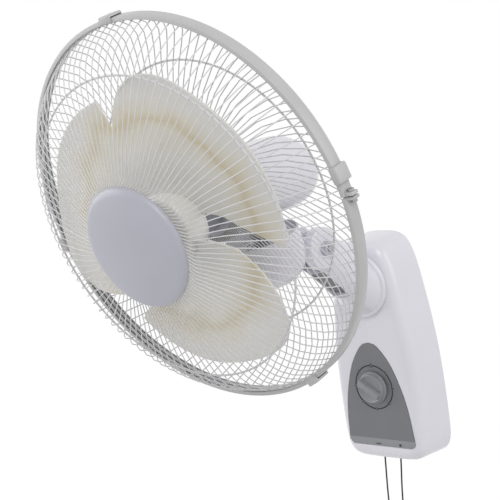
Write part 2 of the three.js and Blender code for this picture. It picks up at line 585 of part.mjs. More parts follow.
// ---------- motor and swinging head ----------
function makeMotorBracket() {
  const sleeve = solid(atSwing(discUp(SLEEVE_R, leverLow, POST_TOP - GAP - 0.2)));
  const bore = solid(atSwing(discUp(POST_R + 0.4, leverLow - 1, POST_TOP + 1, SMALL_ROUND)));
  const leverTip = SWING_S - 2 * CRANK - 5.5;
  const lever = solid(box(-5, 5, leverTip, SWING_S - SLEEVE_R + 2, leverLow, leverLow + leverT));
  const slotFar = SWING_S - 2 * CRANK - CRANK_PIN_R - GAP;
  const slotNear = SWING_S - CRANK * Math.SQRT2 + CRANK_PIN_R + GAP + 0.4;
  const slot = solid(box(-CRANK_PIN_R - GAP, CRANK_PIN_R + GAP, slotFar, slotNear, leverLow - 1, leverLow + leverT + 1));
  const saddle = solid(box(-17, 17, REAR_BELL_BACK + GAP, REAR_BELL_BACK + GAP + 4, POST_TOP, 12));
  const web = solid(box(-9, 9, REAR_BELL_BACK + GAP, REAR_BELL_BACK + GAP + 4, POST_TOP - 18, POST_TOP + 1));
  const headRoom = solid(atSwing(discUp(POST_HEAD_R + GAP, POST_TOP - GAP, POST_TOP + POST_HEAD_T + GAP, SMALL_ROUND)));
  const shaftRoom = solid(disc(SHAFT_R + 3, REAR_BELL_BACK - 1, REAR_BELL_BACK + 8, SMALL_ROUND));
  return cut(join(sleeve, lever, saddle, web), bore, slot, headRoom, shaftRoom);
}
const REAR_BELL_BACK = 79;
add(head, 'motor_bracket', makeMotorBracket(), STEEL);

function ventSlots(count, r0, r1, width, y0, y1) {
  return Array.from({ length: count }, (_, k) => solid(
    box(r0, r1, y0, y1, -width / 2, width / 2).rotateY(2 * Math.PI * (k + 0.5) / count)));
}

const bossFront = BELL_FRONT - 8;
add(head, 'motor_front_bell', cut(
  solid(turned([[SHAFT_R + 2, bossFront], [GRILLE_BOSS_R - 1, bossFront], [GRILLE_BOSS_R, bossFront + 1],
    [GRILLE_BOSS_R, BELL_FRONT], [BELL_R - 5, BELL_FRONT], [BELL_R, BELL_FRONT + 5], [BELL_R, BELL_REAR],
    [BELL_R - BELL_T, BELL_REAR], [BELL_R - BELL_T, BELL_FRONT + 6], [BELL_R - 6, BELL_FRONT + BELL_T],
    [BEARING_R + 3, BELL_FRONT + BELL_T], [BEARING_R + 3, BELL_FRONT + 7.5], [BEARING_R + GAP, BELL_FRONT + 7.5],
    [BEARING_R + GAP, BELL_FRONT + 1], [SHAFT_R + 2, BELL_FRONT + 1]])),
  ventSlots(8, GRILLE_BOSS_R + 6, BELL_R - 7, 5, BELL_FRONT - 1, BELL_FRONT + 4)), PALE_GREY_ABS);

add(head, 'front_bearing', ring(SHAFT_R + GAP, BEARING_R, BELL_FRONT + 1 + GAP, BELL_FRONT + 7.5, SMALL_ROUND), STEEL);
add(head, 'rear_bearing', ring(SHAFT_R + GAP, BEARING_R, REAR_BELL_BACK - 8, REAR_BELL_BACK - 1.5 - GAP, SMALL_ROUND), STEEL);

add(head, 'stator', ring(STATOR_IN, STATOR_OUT, STATOR_FRONT, STATOR_REAR), LAMINATION);

add(head, 'motor_rear_bell', turned([[SHAFT_R + 2, REAR_BELL_BACK], [REAR_BELL_R - 6, REAR_BELL_BACK],
  [REAR_BELL_R, REAR_BELL_BACK - 6], [REAR_BELL_R, BELL_REAR + 2], [STATOR_OUT + 1, BELL_REAR + 2],
  [STATOR_OUT + 1, BELL_REAR - 1 + GAP + 0.2], [REAR_BELL_R - 2.5, BELL_REAR - 1 + GAP + 0.2],
  [REAR_BELL_R - 2.5, REAR_BELL_BACK - 7], [BEARING_R + 3, REAR_BELL_BACK - 2.5],
  [BEARING_R + 3, REAR_BELL_BACK - 8], [BEARING_R + GAP, REAR_BELL_BACK - 8], [BEARING_R + GAP, REAR_BELL_BACK - 1.5],
  [SHAFT_R + 2, REAR_BELL_BACK - 1.5]]), STEEL);

// The rear cover drops and narrows towards its tail. Each row is place, drop and radius.
const tailRows = [[0, 0, BELL_R], [18, 3, BELL_R - 2.5], [38, 8, BELL_R - 5], [76, 16, BELL_R - 6],
  [100, 20, BELL_R - 9], [113, 22, BELL_R - 17], [123, 24, BELL_R - 36]];
const COVER_FRONT = BELL_REAR + GAP;
function tailForm(wall) {
  const sides = 20;
  return loft(tailRows.map(([run, drop, r], i) => {
    const back = i === 0 ? COVER_FRONT - (wall ? 1 : 0) : COVER_FRONT + run - wall;
    const reach = Math.max(r - wall, 2);
    return Array.from({ length: sides }, (_, k) => {
      const t = 2 * Math.PI * k / sides;
      return new THREE.Vector3(reach * Math.cos(t), back, reach * Math.sin(t) - drop);
    });
  }));
}
function makeRearCover() {
  const shell = cut(solid(tailForm(0)), solid(tailForm(2.4)));
  const sleeveHole = solid(atSwing(discUp(SLEEVE_R + 1.5, -70, -30)));
  const backSlots = [-1, 0, 1].map((k) => solid(
    box(-14, 14, COVER_FRONT + 98, COVER_FRONT + 130, -24 + 7 * k, -21 + 7 * k)));
  return cut(shell, sleeveHole, backSlots);
}
add(head, 'motor_rear_cover', makeRearCover(), WHITE_ABS);

// ---------- guard ----------
// Each row is [place along the shaft, radius], from the middle out to the hoop.
const ringGap = HOOP_W / 2 - 1.5 - RING_R - 1.6;
const frontWireRun = [[-81, 60], [-50, 160], [-35, 187], [-14, 204], [-ringGap, RING_AT_R]];
const rearWireRun = [[25.5, 34], [25.5, 51], [38, 72], [41, 161], [34, 187], [14, 204], [ringGap, RING_AT_R]];

const FACET = Math.cos(Math.PI / WIRES);  // wires meet the rings in the middle of a facet

function guardWires(run, twistSteps) {
  const twist = twistSteps * 2 * Math.PI / WIRES;
  const reach = run[run.length - 1][1] - run[0][1];
  return Array.from({ length: WIRES }, (_, k) => {
    const points = run.map(([s, r]) => {
      const a = 2 * Math.PI * k / WIRES + twist * (r - run[0][1]) / reach;
      return new THREE.Vector3(r * FACET * Math.cos(a), s, r * FACET * Math.sin(a));
    });
    return solid(rod(points, WIRE_R, 3));
  });
}
// Ring of square wire with one side square to the wires that end on it.
function wireRing([s, r], half, lean) {
  const profile = [1, 3, 5, 7].map((k) => lean + k * Math.PI / 4)
    .map((a) => [r + half * Math.SQRT2 * Math.cos(a), s + half * Math.SQRT2 * Math.sin(a)]);
  return solid(turned(profile, WIRES).rotateY(Math.PI / WIRES));
}
const leanOf = ([s0, r0], [s1, r1]) => Math.atan2(s1 - s0, r1 - r0);

add(head, 'front_grille', join(guardWires(frontWireRun, 0),
  wireRing(frontWireRun[0], 1.4, leanOf(...frontWireRun)), wireRing([-46.5, 166.5], 1.2, leanOf(...frontWireRun.slice(1))),
  wireRing([-ringGap, RING_AT_R], RING_R / Math.SQRT2, leanOf(...frontWireRun.slice(-2)))), COATED_WIRE);

const plateFront = BELL_FRONT - 2.6;
add(head, 'rear_grille', join(guardWires(rearWireRun, REAR_TWIST_STEPS),
  solid(ring(GRILLE_BOSS_R + 0.4, 36, plateFront, plateFront + 2.2)),
  wireRing([40.7, 152], 1.2, 0), wireRing([ringGap, RING_AT_R], RING_R / Math.SQRT2, leanOf(...rearWireRun.slice(-2)))), COATED_WIRE);

add(head, 'grille_nut', cut(
  solid(turned([[GRILLE_BOSS_R + 0.4, bossFront + 0.5], [33, bossFront + 0.5], [37, bossFront + 2.5],
    [37, plateFront - GAP], [GRILLE_BOSS_R + 0.4, plateFront - GAP]]))), PALE_GREY_ABS);

const LUG_ANGLE = 3 * RAD;
function makeHoop() {
  const half = HOOP_W / 2;
  const inner = HOOP_R - HOOP_T;
  const lip = 210.6;
  const band = solid(turned([[HOOP_R, -half], [HOOP_R, half], [lip, half], [lip, half - 1.4], [inner, half - 1.4],
    [inner, -half + 1.4], [lip, -half + 1.4], [lip, -half]], 2 * WIRES));
  const lugs = solid(box(HOOP_R - 1.5, HOOP_R + 8, -5, 5, -4, 4).rotateY(-LUG_ANGLE));
  const split = solid(box(HOOP_R - 12, HOOP_R + 12, -half - 1, half + 1, -0.8, 0.8).rotateY(-LUG_ANGLE));
  const bore = solid(discUp(1.9, -6, 6, 12).translate(HOOP_R + 4, 0, 0).rotateY(-LUG_ANGLE));
  return cut(join(band, lugs), split, bore);
}
add(head, 'guard_hoop', makeHoop(), HOOP_PLASTIC);
add(head, 'hoop_screw', join(solid(discUp(1.6, -7.5, 6, 12)), solid(discUp(3.2, 4 + GAP, 6.5, 16)),
  solid(discUp(3, -6.8, -4 - GAP, 6))).translate([HOOP_R + 4, 0, 0])
  .rotate([0, -LUG_ANGLE / RAD, 0]), STEEL);

CLIP_ANGLES.forEach((angle, k) => {
  const half = HOOP_W / 2 + GAP;
  const section = [[HOOP_R - 5, -half - 1.8], [HOOP_R + 2.4, -half - 1.8], [HOOP_R + 3.4, -half], [HOOP_R + 3.4, half],
    [HOOP_R + 2.4, half + 1.8], [HOOP_R - 5, half + 1.8], [HOOP_R - 5, half], [HOOP_R + GAP + 0.6, half],
    [HOOP_R + GAP + 0.6, -half], [HOOP_R - 5, -half]];
  const shape = new THREE.Shape(section.map(([r, s]) => new THREE.Vector2(r, s)));
  const clip = new THREE.ExtrudeGeometry(shape, { depth: 17, bevelEnabled: false }).translate(0, 0, -8.5).rotateY(-angle);
  add(head, `hoop_clip_${k + 1}`, clip, HOOP_PLASTIC);
});

// badge: a domed disc clipped over the front grille's inner ring
const domeRows = [0, 0.25, 0.5, 0.75, 1].map((t) => [(BADGE_R - 4) * t, BADGE_S - BADGE_RISE * (1 - t * t)]);
add(head, 'badge', turned([...domeRows, [BADGE_R - 1, BADGE_S + 1.6], [BADGE_R, BADGE_S + 3.5],
  [BADGE_R, BADGE_S + 6], [BADGE_R - 2.2, BADGE_S + 6], [BADGE_R - 2.6, BADGE_S + 4], [BADGE_R - 5, BADGE_S + 2.4],
  [0, BADGE_S + 2.4]]), PALE_GREY_ABS);

// ---------- rotor ----------
add(head, 'motor_shaft', disc(SHAFT_R, SHAFT_FRONT, SHAFT_REAR, SMALL_ROUND), STEEL);
add(head, 'motor_rotor', ring(SHAFT_R + GAP, STATOR_IN - 0.5, STATOR_FRONT + 1.5, STATOR_REAR - 1.5), LAMINATION);

// One blade: a cambered sheet between a round trailing edge at the front and a straight
// leading edge at the back. u runs from hub to tip, v from leading to trailing edge.
function bladePoint(u, v) {
  const r = HUB_R - 3 + (BLADE_R - HUB_R + 3) * u;
  const lead = (12 - 20 * u) * RAD;
  const trail = (112 - 30 * u * u) * RAD;
  const a = lead + (trail - lead) * v;
  const pitch = 15 - 5 * u;
  const s = 2 + pitch - (2 * pitch + 24 - 4 * u) * v + 6 * Math.sin(Math.PI * v) * (1 - 0.3 * u);
  return [r, a, s];
}
function makeBlade() {
  const [nu, nv] = [4, 7];
  const grid = [];
  for (let i = 0; i <= nu; i += 1) {
    for (let j = 0; j <= nv; j += 1) {
      const v = j / nv;
      const round = 1 - 0.16 * Math.abs(2 * v - 1) ** 4 * (v > 0.5 ? 1.35 : 0.45);
      const [r, a, s] = bladePoint(i / nu * (i === 0 ? 1 : round), v);
      grid.push([r, a, s]);
    }
  }
  const side = (offset) => grid.map(([r, a, s]) => new THREE.Vector3(r * Math.cos(a), s + offset, r * Math.sin(a)));
  const points = [...side(-BLADE_T / 2), ...side(BLADE_T / 2)];
  const back = (nu + 1) * (nv + 1);
  const at = (i, j) => i * (nv + 1) + j;
  const faces = [];
  const quad = (a, b, c, d) => faces.push(a, b, c, a, c, d);
  for (let i = 0; i < nu; i += 1) {
    for (let j = 0; j < nv; j += 1) {
      quad(at(i, j), at(i + 1, j), at(i + 1, j + 1), at(i, j + 1));
      quad(back + at(i, j), back + at(i, j + 1), back + at(i + 1, j + 1), back + at(i + 1, j));
    }
  }
  for (let i = 0; i < nu; i += 1) {
    quad(at(i, 0), back + at(i, 0), back + at(i + 1, 0), at(i + 1, 0));
    quad(at(i + 1, nv), back + at(i + 1, nv), back + at(i, nv), at(i, nv));
  }
  for (let j = 0; j < nv; j += 1) {
    quad(at(0, j + 1), back + at(0, j + 1), back + at(0, j), at(0, j));
    quad(at(nu, j), back + at(nu, j), back + at(nu, j + 1), at(nu, j + 1));
  }
  const g = new THREE.BufferGeometry();
  g.setAttribute('position', new THREE.Float32BufferAttribute(points.flatMap((p) => p.toArray()), 3));
  g.setIndex(faces);
  return g;
}
function makeImpeller() {
  const blades = Array.from({ length: BLADES }, (_, k) => solid(makeBlade().rotateY(-2 * Math.PI * k / BLADES)));
  const hub = solid(turned([[SHAFT_R + GAP, HUB_FRONT], [HUB_R - 6, HUB_FRONT], [HUB_R, HUB_FRONT + 6], [HUB_R, HUB_REAR],
    [HUB_R - 2.6, HUB_REAR], [HUB_R - 2.6, HUB_FRONT + 7], [HUB_R - 7, HUB_FRONT + 2.6], [9, HUB_FRONT + 2.6],
    [9, HUB_REAR - 4], [SHAFT_R + GAP, HUB_REAR - 4]]));
  return join(hub, blades.map((blade) => cut(blade, solid(disc(HUB_R - 2, -200, 200)))));
}
add(head, 'impeller', makeImpeller(), BLADE_PLASTIC);

const nutBack = HUB_FRONT - GAP;
add(head, 'blade_nut', cut(
  solid(turned([[0, nutBack - 15], [7, nutBack - 14], [13, nutBack - 10], [16, nutBack - 4], [16, nutBack], [0, nutBack]], 20)),
  solid(disc(SHAFT_R + GAP, SHAFT_FRONT - GAP, nutBack + 1, SMALL_ROUND))), PALE_GREY_ABS);

export default group;
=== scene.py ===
"""Wall mounted fan: moulded base with a timer dial and pull cords, neck arm, swinging motor,
wire guard and three milky blades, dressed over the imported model. Metres, +Z up."""
import math
import bpy
from mathutils import Matrix, Vector


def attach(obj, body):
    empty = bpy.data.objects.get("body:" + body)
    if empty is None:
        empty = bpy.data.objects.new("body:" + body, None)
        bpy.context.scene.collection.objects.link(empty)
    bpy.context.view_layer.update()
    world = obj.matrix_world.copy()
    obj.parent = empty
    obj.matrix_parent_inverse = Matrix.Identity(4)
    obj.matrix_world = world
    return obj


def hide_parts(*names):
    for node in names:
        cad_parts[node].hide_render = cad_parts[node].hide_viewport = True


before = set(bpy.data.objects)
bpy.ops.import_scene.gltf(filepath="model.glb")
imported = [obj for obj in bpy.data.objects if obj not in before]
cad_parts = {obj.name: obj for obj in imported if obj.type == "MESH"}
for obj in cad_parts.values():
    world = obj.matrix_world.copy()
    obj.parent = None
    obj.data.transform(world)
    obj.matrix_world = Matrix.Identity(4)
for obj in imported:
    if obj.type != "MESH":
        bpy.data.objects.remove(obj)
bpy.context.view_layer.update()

MM = 0.001
TURN = 2 * math.pi

# The head's own frame: y runs back along the shaft from the hoop's plane, z is square to it.
RIM_CENTRE = Vector((0, -0.317, 0.220))
HEAD_TILT = math.radians(13.5)
HEAD = Matrix.Translation(RIM_CENTRE) @ Matrix.Rotation(HEAD_TILT, 4, "X")
BASE = Matrix.Identity(4)


# ---------- modelling tools ----------

def deselect():
    """Leave edit mode and select nothing."""
    if bpy.context.object and bpy.context.object.mode != "OBJECT":
        bpy.ops.object.mode_set(mode="OBJECT")
    bpy.ops.object.select_all(action="DESELECT")


def take(obj):
    """Make one object the selected and active one."""
    deselect()
    obj.select_set(True)
    bpy.context.view_layer.objects.active = obj
    return obj


def edit(obj):
    """Open one object's mesh for editing."""
    take(obj)
    bpy.ops.object.mode_set(mode="EDIT")


def done():
    """Close the edited mesh and give back its object."""
    bpy.ops.object.mode_set(mode="OBJECT")
    return bpy.context.object


def pick(obj, test):
    """Select the vertices of an edited object that pass a test."""
    bpy.ops.mesh.select_mode(type="VERT")
    bpy.ops.mesh.select_all(action="DESELECT")
    bpy.ops.object.mode_set(mode="OBJECT")
    for v in obj.data.vertices:
        v.select = test(v)
    bpy.ops.object.mode_set(mode="EDIT")


def mend():
    """Weld an edited mesh and turn its faces outwards."""
    bpy.ops.mesh.select_all(action="SELECT")
    bpy.ops.mesh.remove_doubles(threshold=1e-5)
    bpy.ops.mesh.normals_make_consistent(inside=False)


def drawn(points):
    """A chain of vertices, each extruded from the last, in millimetres."""
    deselect()
    first = Vector(points[0]) * MM
    bpy.ops.mesh.primitive_plane_add(size=MM, location=first)
    bpy.ops.object.transform_apply(location=True, rotation=False, scale=False)
    bpy.ops.object.mode_set(mode="EDIT")
    bpy.ops.mesh.select_mode(type="VERT")
    bpy.ops.mesh.select_all(action="SELECT")
    bpy.ops.mesh.merge(type="CENTER")
    for a, b in zip(points, points[1:]):
        step = (Vector(b) - Vector(a)) * MM
        bpy.ops.mesh.extrude_region_move(TRANSFORM_OT_translate={"value": step})


def turned(profile, steps=96, centre=(0, 0), upright=False):
    """Spin a profile of (radius, place) pairs about the y axis, or about z through a centre."""
    if upright:
        drawn([(r + centre[0], centre[1], z) for r, z in profile])
        axis = (0, 0, 1)
    else:
        drawn([(r + centre[0], y, centre[1]) for r, y in profile])
        axis = (0, 1, 0)
    bpy.ops.mesh.select_all(action="SELECT")
    middle = (centre[0] * MM, centre[1] * MM, 0) if upright else (centre[0] * MM, 0, centre[1] * MM)
    bpy.ops.mesh.spin(steps=steps, angle=TURN, center=middle, axis=axis)
    mend()
    return done()


def block(low, high):
    """A box between two corners in millimetres."""
    deselect()
    size = [(h - l) * MM for l, h in zip(low, high)]
    middle = [(h + l) / 2 * MM for l, h in zip(low, high)]
    bpy.ops.mesh.primitive_cube_add(size=1, location=middle, scale=size)
    bpy.ops.object.transform_apply(location=True, rotation=True, scale=True)
    return bpy.context.object


def apply_modifier(obj, kind, **settings):
    """Add a modifier with its settings and apply it."""
    take(obj)
    modifier = obj.modifiers.new(kind.title(), kind)
    for key, value in settings.items():
        setattr(modifier, key, value)
    bpy.ops.object.modifier_apply(modifier=modifier.name)
    return obj


def bevelled(obj, width, segments=3, angle=35):
    """Round the edges that turn by more than an angle."""
    return apply_modifier(obj, "BEVEL", width=width * MM, segments=segments,
                          limit_method="ANGLE", angle_limit=math.radians(angle), harden_normals=False)


def cut(obj, tool):
    """Take a tool's shape away from an object."""
    apply_modifier(obj, "BOOLEAN", operation="DIFFERENCE", object=tool, solver="EXACT")
    bpy.data.objects.remove(tool)
    return obj


def merged(obj, other):
    """Unite an object with another one."""
    apply_modifier(obj, "BOOLEAN", operation="UNION", object=other, solver="EXACT")
    bpy.data.objects.remove(other)
    return obj


def joined(objects):
    """Put several objects into one mesh."""
    take(objects[0])
    for obj in objects[1:]:
        obj.select_set(True)
    bpy.ops.object.join()
    return bpy.context.object


def copy_of(obj, matrix):
    """A moved copy of an object."""
    twin = obj.copy()
    twin.data = obj.data.copy()
    twin.data.transform(matrix)
    bpy.context.collection.objects.link(twin)
    return twin


def around(obj, count):
    """Copies of a piece evenly about the y axis, joined into one."""
    twins = [copy_of(obj, Matrix.Rotation(k * TURN / count, 4, "Y")) for k in range(count)]
    bpy.data.objects.remove(obj)
    return joined(twins)


def strand(points, radius, sides=2):
    """A round wire through points in millimetres. sides is the bevel resolution."""
    curve = bpy.data.curves.new("strand", "CURVE")
    curve.dimensions = "3D"
    curve.bevel_depth = radius * MM
    curve.bevel_resolution = sides - 1
    curve.use_fill_caps = True
    line = curve.splines.new("POLY")
    line.points.add(len(points) - 1)
    for knot, p in zip(line.points, points):
        knot.co = (*(Vector(p) * MM), 1)
    obj = bpy.data.objects.new("strand", curve)
    bpy.context.collection.objects.link(obj)
    take(obj)
    bpy.ops.object.convert(target="MESH")
    return bpy.context.object


def lofted(rings):
    """A circle extruded once for each further ring, its points sent to their drawn places.
    The last ring is filled and the first stays open."""
    deselect()
    count = len(rings[0])
    bpy.ops.mesh.primitive_circle_add(vertices=count, radius=1)
    obj = bpy.context.object
    bpy.ops.object.mode_set(mode="EDIT")
    bpy.ops.mesh.select_mode(type="VERT")
    bpy.ops.mesh.select_all(action="SELECT")
    for _ in rings[1:]:
        bpy.ops.mesh.extrude_region_move(TRANSFORM_OT_translate={"value": (0, 0, 1)})
    done()
    last = set()
    for v in obj.data.vertices:
        k = round(v.co.z)
        v.co = Vector(rings[k][round(math.atan2(v.co.x, v.co.y) / TURN * count) % count]) * MM
        if k == len(rings) - 1:
            last.add(v.index)
    edit(obj)
    pick(obj, lambda v: v.index in last)
    bpy.ops.mesh.edge_face_add()
    mend()
    return done()


def smooth_between(p, f):
    """The point at share f between the middle two of four knots, on a smooth curve through them."""
    return 0.5 * (2 * p[1] + (p[2] - p[0]) * f + (2 * p[0] - 5 * p[1] + 4 * p[2] - p[3]) * f * f
                  + (3 * p[1] - p[0] - 3 * p[2] + p[3]) * f ** 3)


def cylinder(radius, length, centre, across=True, sides=64):
    """A cylinder of a size in millimetres about a centre in metres, along x or upright."""
    deselect()
    bpy.ops.mesh.primitive_cylinder_add(vertices=sides, radius=radius * MM, depth=length * MM,
                                        rotation=(0, math.pi / 2 if across else 0, 0), location=centre)
    bpy.ops.object.transform_apply(location=True, rotation=True, scale=True)
    return bpy.context.object


def hoop(radius, place, wire, sides=8):
    """A round wire ring about the y axis."""
    section = [(radius + wire * math.cos(a), place + wire * math.sin(a))
               for a in (TURN * k / sides for k in range(sides + 1))]
    return turned(section, 144)


def piece(obj, name, body, material, replaces=(), place=BASE, smooth=40):
    """Name a finished shape, set it in place, give it its finish and its body."""
    take(obj)
    obj.name = obj.data.name = name
    obj.data.transform(place)
    obj.matrix_world = Matrix.Identity(4)
    obj.data.materials.clear()
    obj.data.materials.append(material)
    if smooth:
        bpy.ops.object.shade_smooth_by_angle(angle=math.radians(smooth))
    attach(obj, body)
    if replaces:
        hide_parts(*replaces)
    return obj


# ---------- finishes ----------

def linear(hex_colour):
    """sRGB hex to a linear colour."""
    channels = [int(hex_colour[i:i + 2], 16) / 255 for i in (1, 3, 5)]
    return tuple(c / 12.92 if c <= 0.04045 else ((c + 0.055) / 1.055) ** 2.4 for c in channels) + (1.0,)


def node(material, kind, links=(), **settings):
    """Add a node, set its values and link other nodes' outputs to its inputs."""
    made = material.node_tree.nodes.new(kind)
    for key, value in settings.items():
        if key.startswith("in_"):
            made.inputs[key[3:].replace("_", " ")].default_value = value
        else:
            setattr(made, key, value)
    for source, out, target in links:
        material.node_tree.links.new(source.outputs[out], made.inputs[target])
    return made


GLOSS_SWING = 0.02   # how far the grain moves the roughness each way


def finish(name, colour, roughness, metallic=0.0, coat=0.0, grain_mm=1.0, shift=0.04, bump=0.02,
           subsurface=0.0):
    """A surface with a fine grain: colour, gloss and height all vary a little at a real scale."""
    material = bpy.data.materials.new(name)
    material.use_nodes = True
    material.node_tree.nodes.clear()
    place = node(material, "ShaderNodeTexCoord")
    fine = node(material, "ShaderNodeTexNoise", [(place, "Object", "Vector")],
                in_Scale=1 / (grain_mm * MM), in_Detail=3.0, in_Roughness=0.6)
    # broad patches about 55 mm long
    broad = node(material, "ShaderNodeTexNoise", [(place, "Object", "Vector")],
                 in_Scale=18.0, in_Detail=2.0, in_Roughness=0.5)
    dark = [c * (1 - shift) for c in linear(colour)[:3]] + [1]
    light = [min(c * (1 + shift), 1) for c in linear(colour)[:3]] + [1]
    tint = node(material, "ShaderNodeValToRGB", [(broad, "Fac", "Fac")])
    tint.color_ramp.elements[0].position = 0.3
    tint.color_ramp.elements[1].position = 0.7
    tint.color_ramp.elements[0].color = dark
    tint.color_ramp.elements[1].color = light
    gloss = node(material, "ShaderNodeMapRange", [(fine, "Fac", "Value")])
    gloss.inputs["To Min"].default_value = max(roughness - GLOSS_SWING, 0.03)
    gloss.inputs["To Max"].default_value = roughness + GLOSS_SWING
    height = node(material, "ShaderNodeBump", [(fine, "Fac", "Height")],
                  in_Strength=bump, in_Distance=0.0002)
    shader = node(material, "ShaderNodeBsdfPrincipled",
                  [(tint, "Color", "Base Color"), (gloss, "Result", "Roughness"),
                   (height, "Normal", "Normal")],
                  in_Metallic=metallic)
    shader.inputs["Coat Weight"].default_value = coat
    shader.inputs["Coat Roughness"].default_value = 0.08
    if subsurface:
        shader.inputs["Subsurface Weight"].default_value = subsurface
        shader.inputs["Subsurface Radius"].default_value = (0.003, 0.003, 0.0028)
        shader.inputs["Subsurface Scale"].default_value = 1.0
    node(material, "ShaderNodeOutputMaterial", [(shader, "BSDF", "Surface")])
    return material


# Injection moulded ABS from a polished tool: nearly white with a cold cast, clear reflections.
white_abs = finish("polished_white_abs", "#E6E4EC", 0.24, coat=0.25, grain_mm=1.2, bump=0.01, shift=0.012)
# The same plastic in a pale grey batch, with a little less gloss.
grey_abs = finish("satin_grey_abs", "#B9B9C4", 0.30, coat=0.15, grain_mm=0.9, bump=0.015, shift=0.02)
# A matt mid grey sheet in the arm's open underside: painted shade for the dark hollow there.
painted_under_arm_shade = finish("painted_under_arm_shade_grey", "#77777B", 0.55, grain_mm=0.8, bump=0.03, shift=0.03)
# Motor housing: light alloy sprayed silver grey.
sprayed_alloy = finish("sprayed_die_cast_alloy", "#8E8F98", 0.45, grain_mm=0.6, bump=0.05, shift=0.05)
# Panel: ABS sprayed with a fine metallic grey.
panel_spray = finish("metallic_grey_spray", "#77787C", 0.42, coat=0.1, grain_mm=0.4, bump=0.03, shift=0.05)


def paint_lit_foot(material, crease_z, colour):
    """Below its crease the panel leans back; there its spray is painted lighter, a painted highlight for the
    light the leaning foot catches.
    """
    shader = next(n for n in material.node_tree.nodes if n.type == "BSDF_PRINCIPLED")
    tint = shader.inputs["Base Color"].links[0].from_node
    place = node(material, "ShaderNodeTexCoord")
    height = node(material, "ShaderNodeSeparateXYZ", [(place, "Object", "Vector")])
    below = node(material, "ShaderNodeMath", [(height, "Z", 0)], operation="LESS_THAN")
    below.inputs[1].default_value = crease_z * MM
    mixed = node(material, "ShaderNodeMixRGB", [(below, "Value", "Fac"), (tint, "Color", "Color1")],
                 in_Color2=linear(colour))
    material.node_tree.links.new(mixed.outputs["Color"], shader.inputs["Base Color"])


CREASE_Z = -112.5
# 929397 below the crease is a painted highlight on the leaning foot of the panel
paint_lit_foot(panel_spray, CREASE_Z, "#929397")
# Knob: ABS with the same spray, a shade lighter.
knob_spray = finish("silver_grey_knob_spray", "#8F9093", 0.38, coat=0.1, grain_mm=0.4, bump=0.03, shift=0.04)


def blade_finish():
    """Milky styrene: cream, a tan ring that is partly aged plastic and partly painted shade where the blade
    curves, a paler rim.
    """
    material = finish("milky_styrene", "#EFECE4", 0.28, coat=0.1, grain_mm=2.0, bump=0.01, shift=0.02,
                      subsurface=0.2)
    shader = next(n for n in material.node_tree.nodes if n.type == "BSDF_PRINCIPLED")
    place = node(material, "ShaderNodeTexCoord")
    turned_in = node(material, "ShaderNodeMapping", [(place, "Object", "Vector")], vector_type="TEXTURE",
                     in_Location=RIM_CENTRE, in_Rotation=(HEAD_TILT, 0, 0))
    flat = node(material, "ShaderNodeVectorMath", [(turned_in, "Vector", 0)], operation="MULTIPLY")
    flat.inputs[1].default_value = (1, 0, 1)
    radius = node(material, "ShaderNodeVectorMath", [(flat, "Vector", 0)], operation="LENGTH")
    # patches about 40 mm long break the ring up
    patch = node(material, "ShaderNodeTexNoise", [(place, "Object", "Vector")], in_Scale=25.0, in_Detail=1.0)
    share = node(material, "ShaderNodeMapRange", [(radius, "Value", "Value")])
    share.inputs["From Min"].default_value = 0.03
    share.inputs["From Max"].default_value = 0.175
    sway = node(material, "ShaderNodeMath", [(patch, "Fac", 0)], operation="MULTIPLY_ADD")
    sway.inputs[1].default_value, sway.inputs[2].default_value = 0.26, -0.13
    moved = node(material, "ShaderNodeMath", [(share, "Result", 0), (sway, "Value", 1)], operation="ADD")
    # the tan stops are partly yellowing and partly painted shade of the blade's curve
    aged_and_shaded_band = node(material, "ShaderNodeValToRGB", [(moved, "Value", "Fac")])
    stops = ((0.0, "#E9E8E3"), (0.36, "#EFEDE6"), (0.52, "#E9E4D6"), (0.60, "#DDD3B9"), (0.67, "#E7E1D2"),
             (0.78, "#E9E7E2"), (1.0, "#E3E2DF"))
    ramp = aged_and_shaded_band.color_ramp
    while len(ramp.elements) < len(stops):
        ramp.elements.new(0.5)
    for element, (at, colour) in zip(ramp.elements, stops):
        element.position, element.color = at, linear(colour)
    material.node_tree.links.new(aged_and_shaded_band.outputs["Color"], shader.inputs["Base Color"])
    return material


# Blades: unfilled styrene copolymer, milky so that light soaks in; the tan ring is partly aged plastic and
# partly painted shade.
milky_styrene = blade_finish()
# Guard wires: drawn steel, dipped in a thick off-white polymer coat.
dipped_wire = finish("polymer_coated_steel_wire", "#DCDCDE", 0.36, grain_mm=0.5, bump=0.03, shift=0.04)
# Hoop and clips: glass filled nylon, flat grey with a fine bloom.
nylon = finish("glass_filled_nylon", "#C0C0C0", 0.34, grain_mm=0.5, bump=0.03, shift=0.03)
# Zinc plated sheet and pins.
zinc = finish("zinc_plated_steel", "#A5A7AA", 0.35, metallic=1.0, grain_mm=0.5, bump=0.04, shift=0.08)
# Varnished electrical steel.
laminations = finish("varnished_laminations", "#4A4C50", 0.55, metallic=0.6, grain_mm=0.5, bump=0.2,
                     shift=0.1)
# Phenolic and nylon electrical parts.
black_nylon = finish("black_nylon", "#29292B", 0.5, grain_mm=0.5, bump=0.05, shift=0.1)
# Screen printed ink.
ink = finish("black_screen_ink", "#1D1E21", 0.6, grain_mm=0.3, bump=0.0, shift=0.05)
# Braided cord, plaits about a millimetre long.
braid = finish("braided_nylon_cord", "#3C3C40", 0.85, grain_mm=0.8, bump=0.5, shift=0.25)


# ---------- camera ----------

# Lens and place as worked out from the hoop, the badge and the base's edges.
FOCAL_PX = 1300
PHOTO_PX = 500
SENSOR_MM = 36
CAMERA_AT = (0.962, -1.250, 0.379)
AZIMUTH, ELEVATION, ROLL = (math.radians(a) for a in (43.5, 8.8, -9.0))


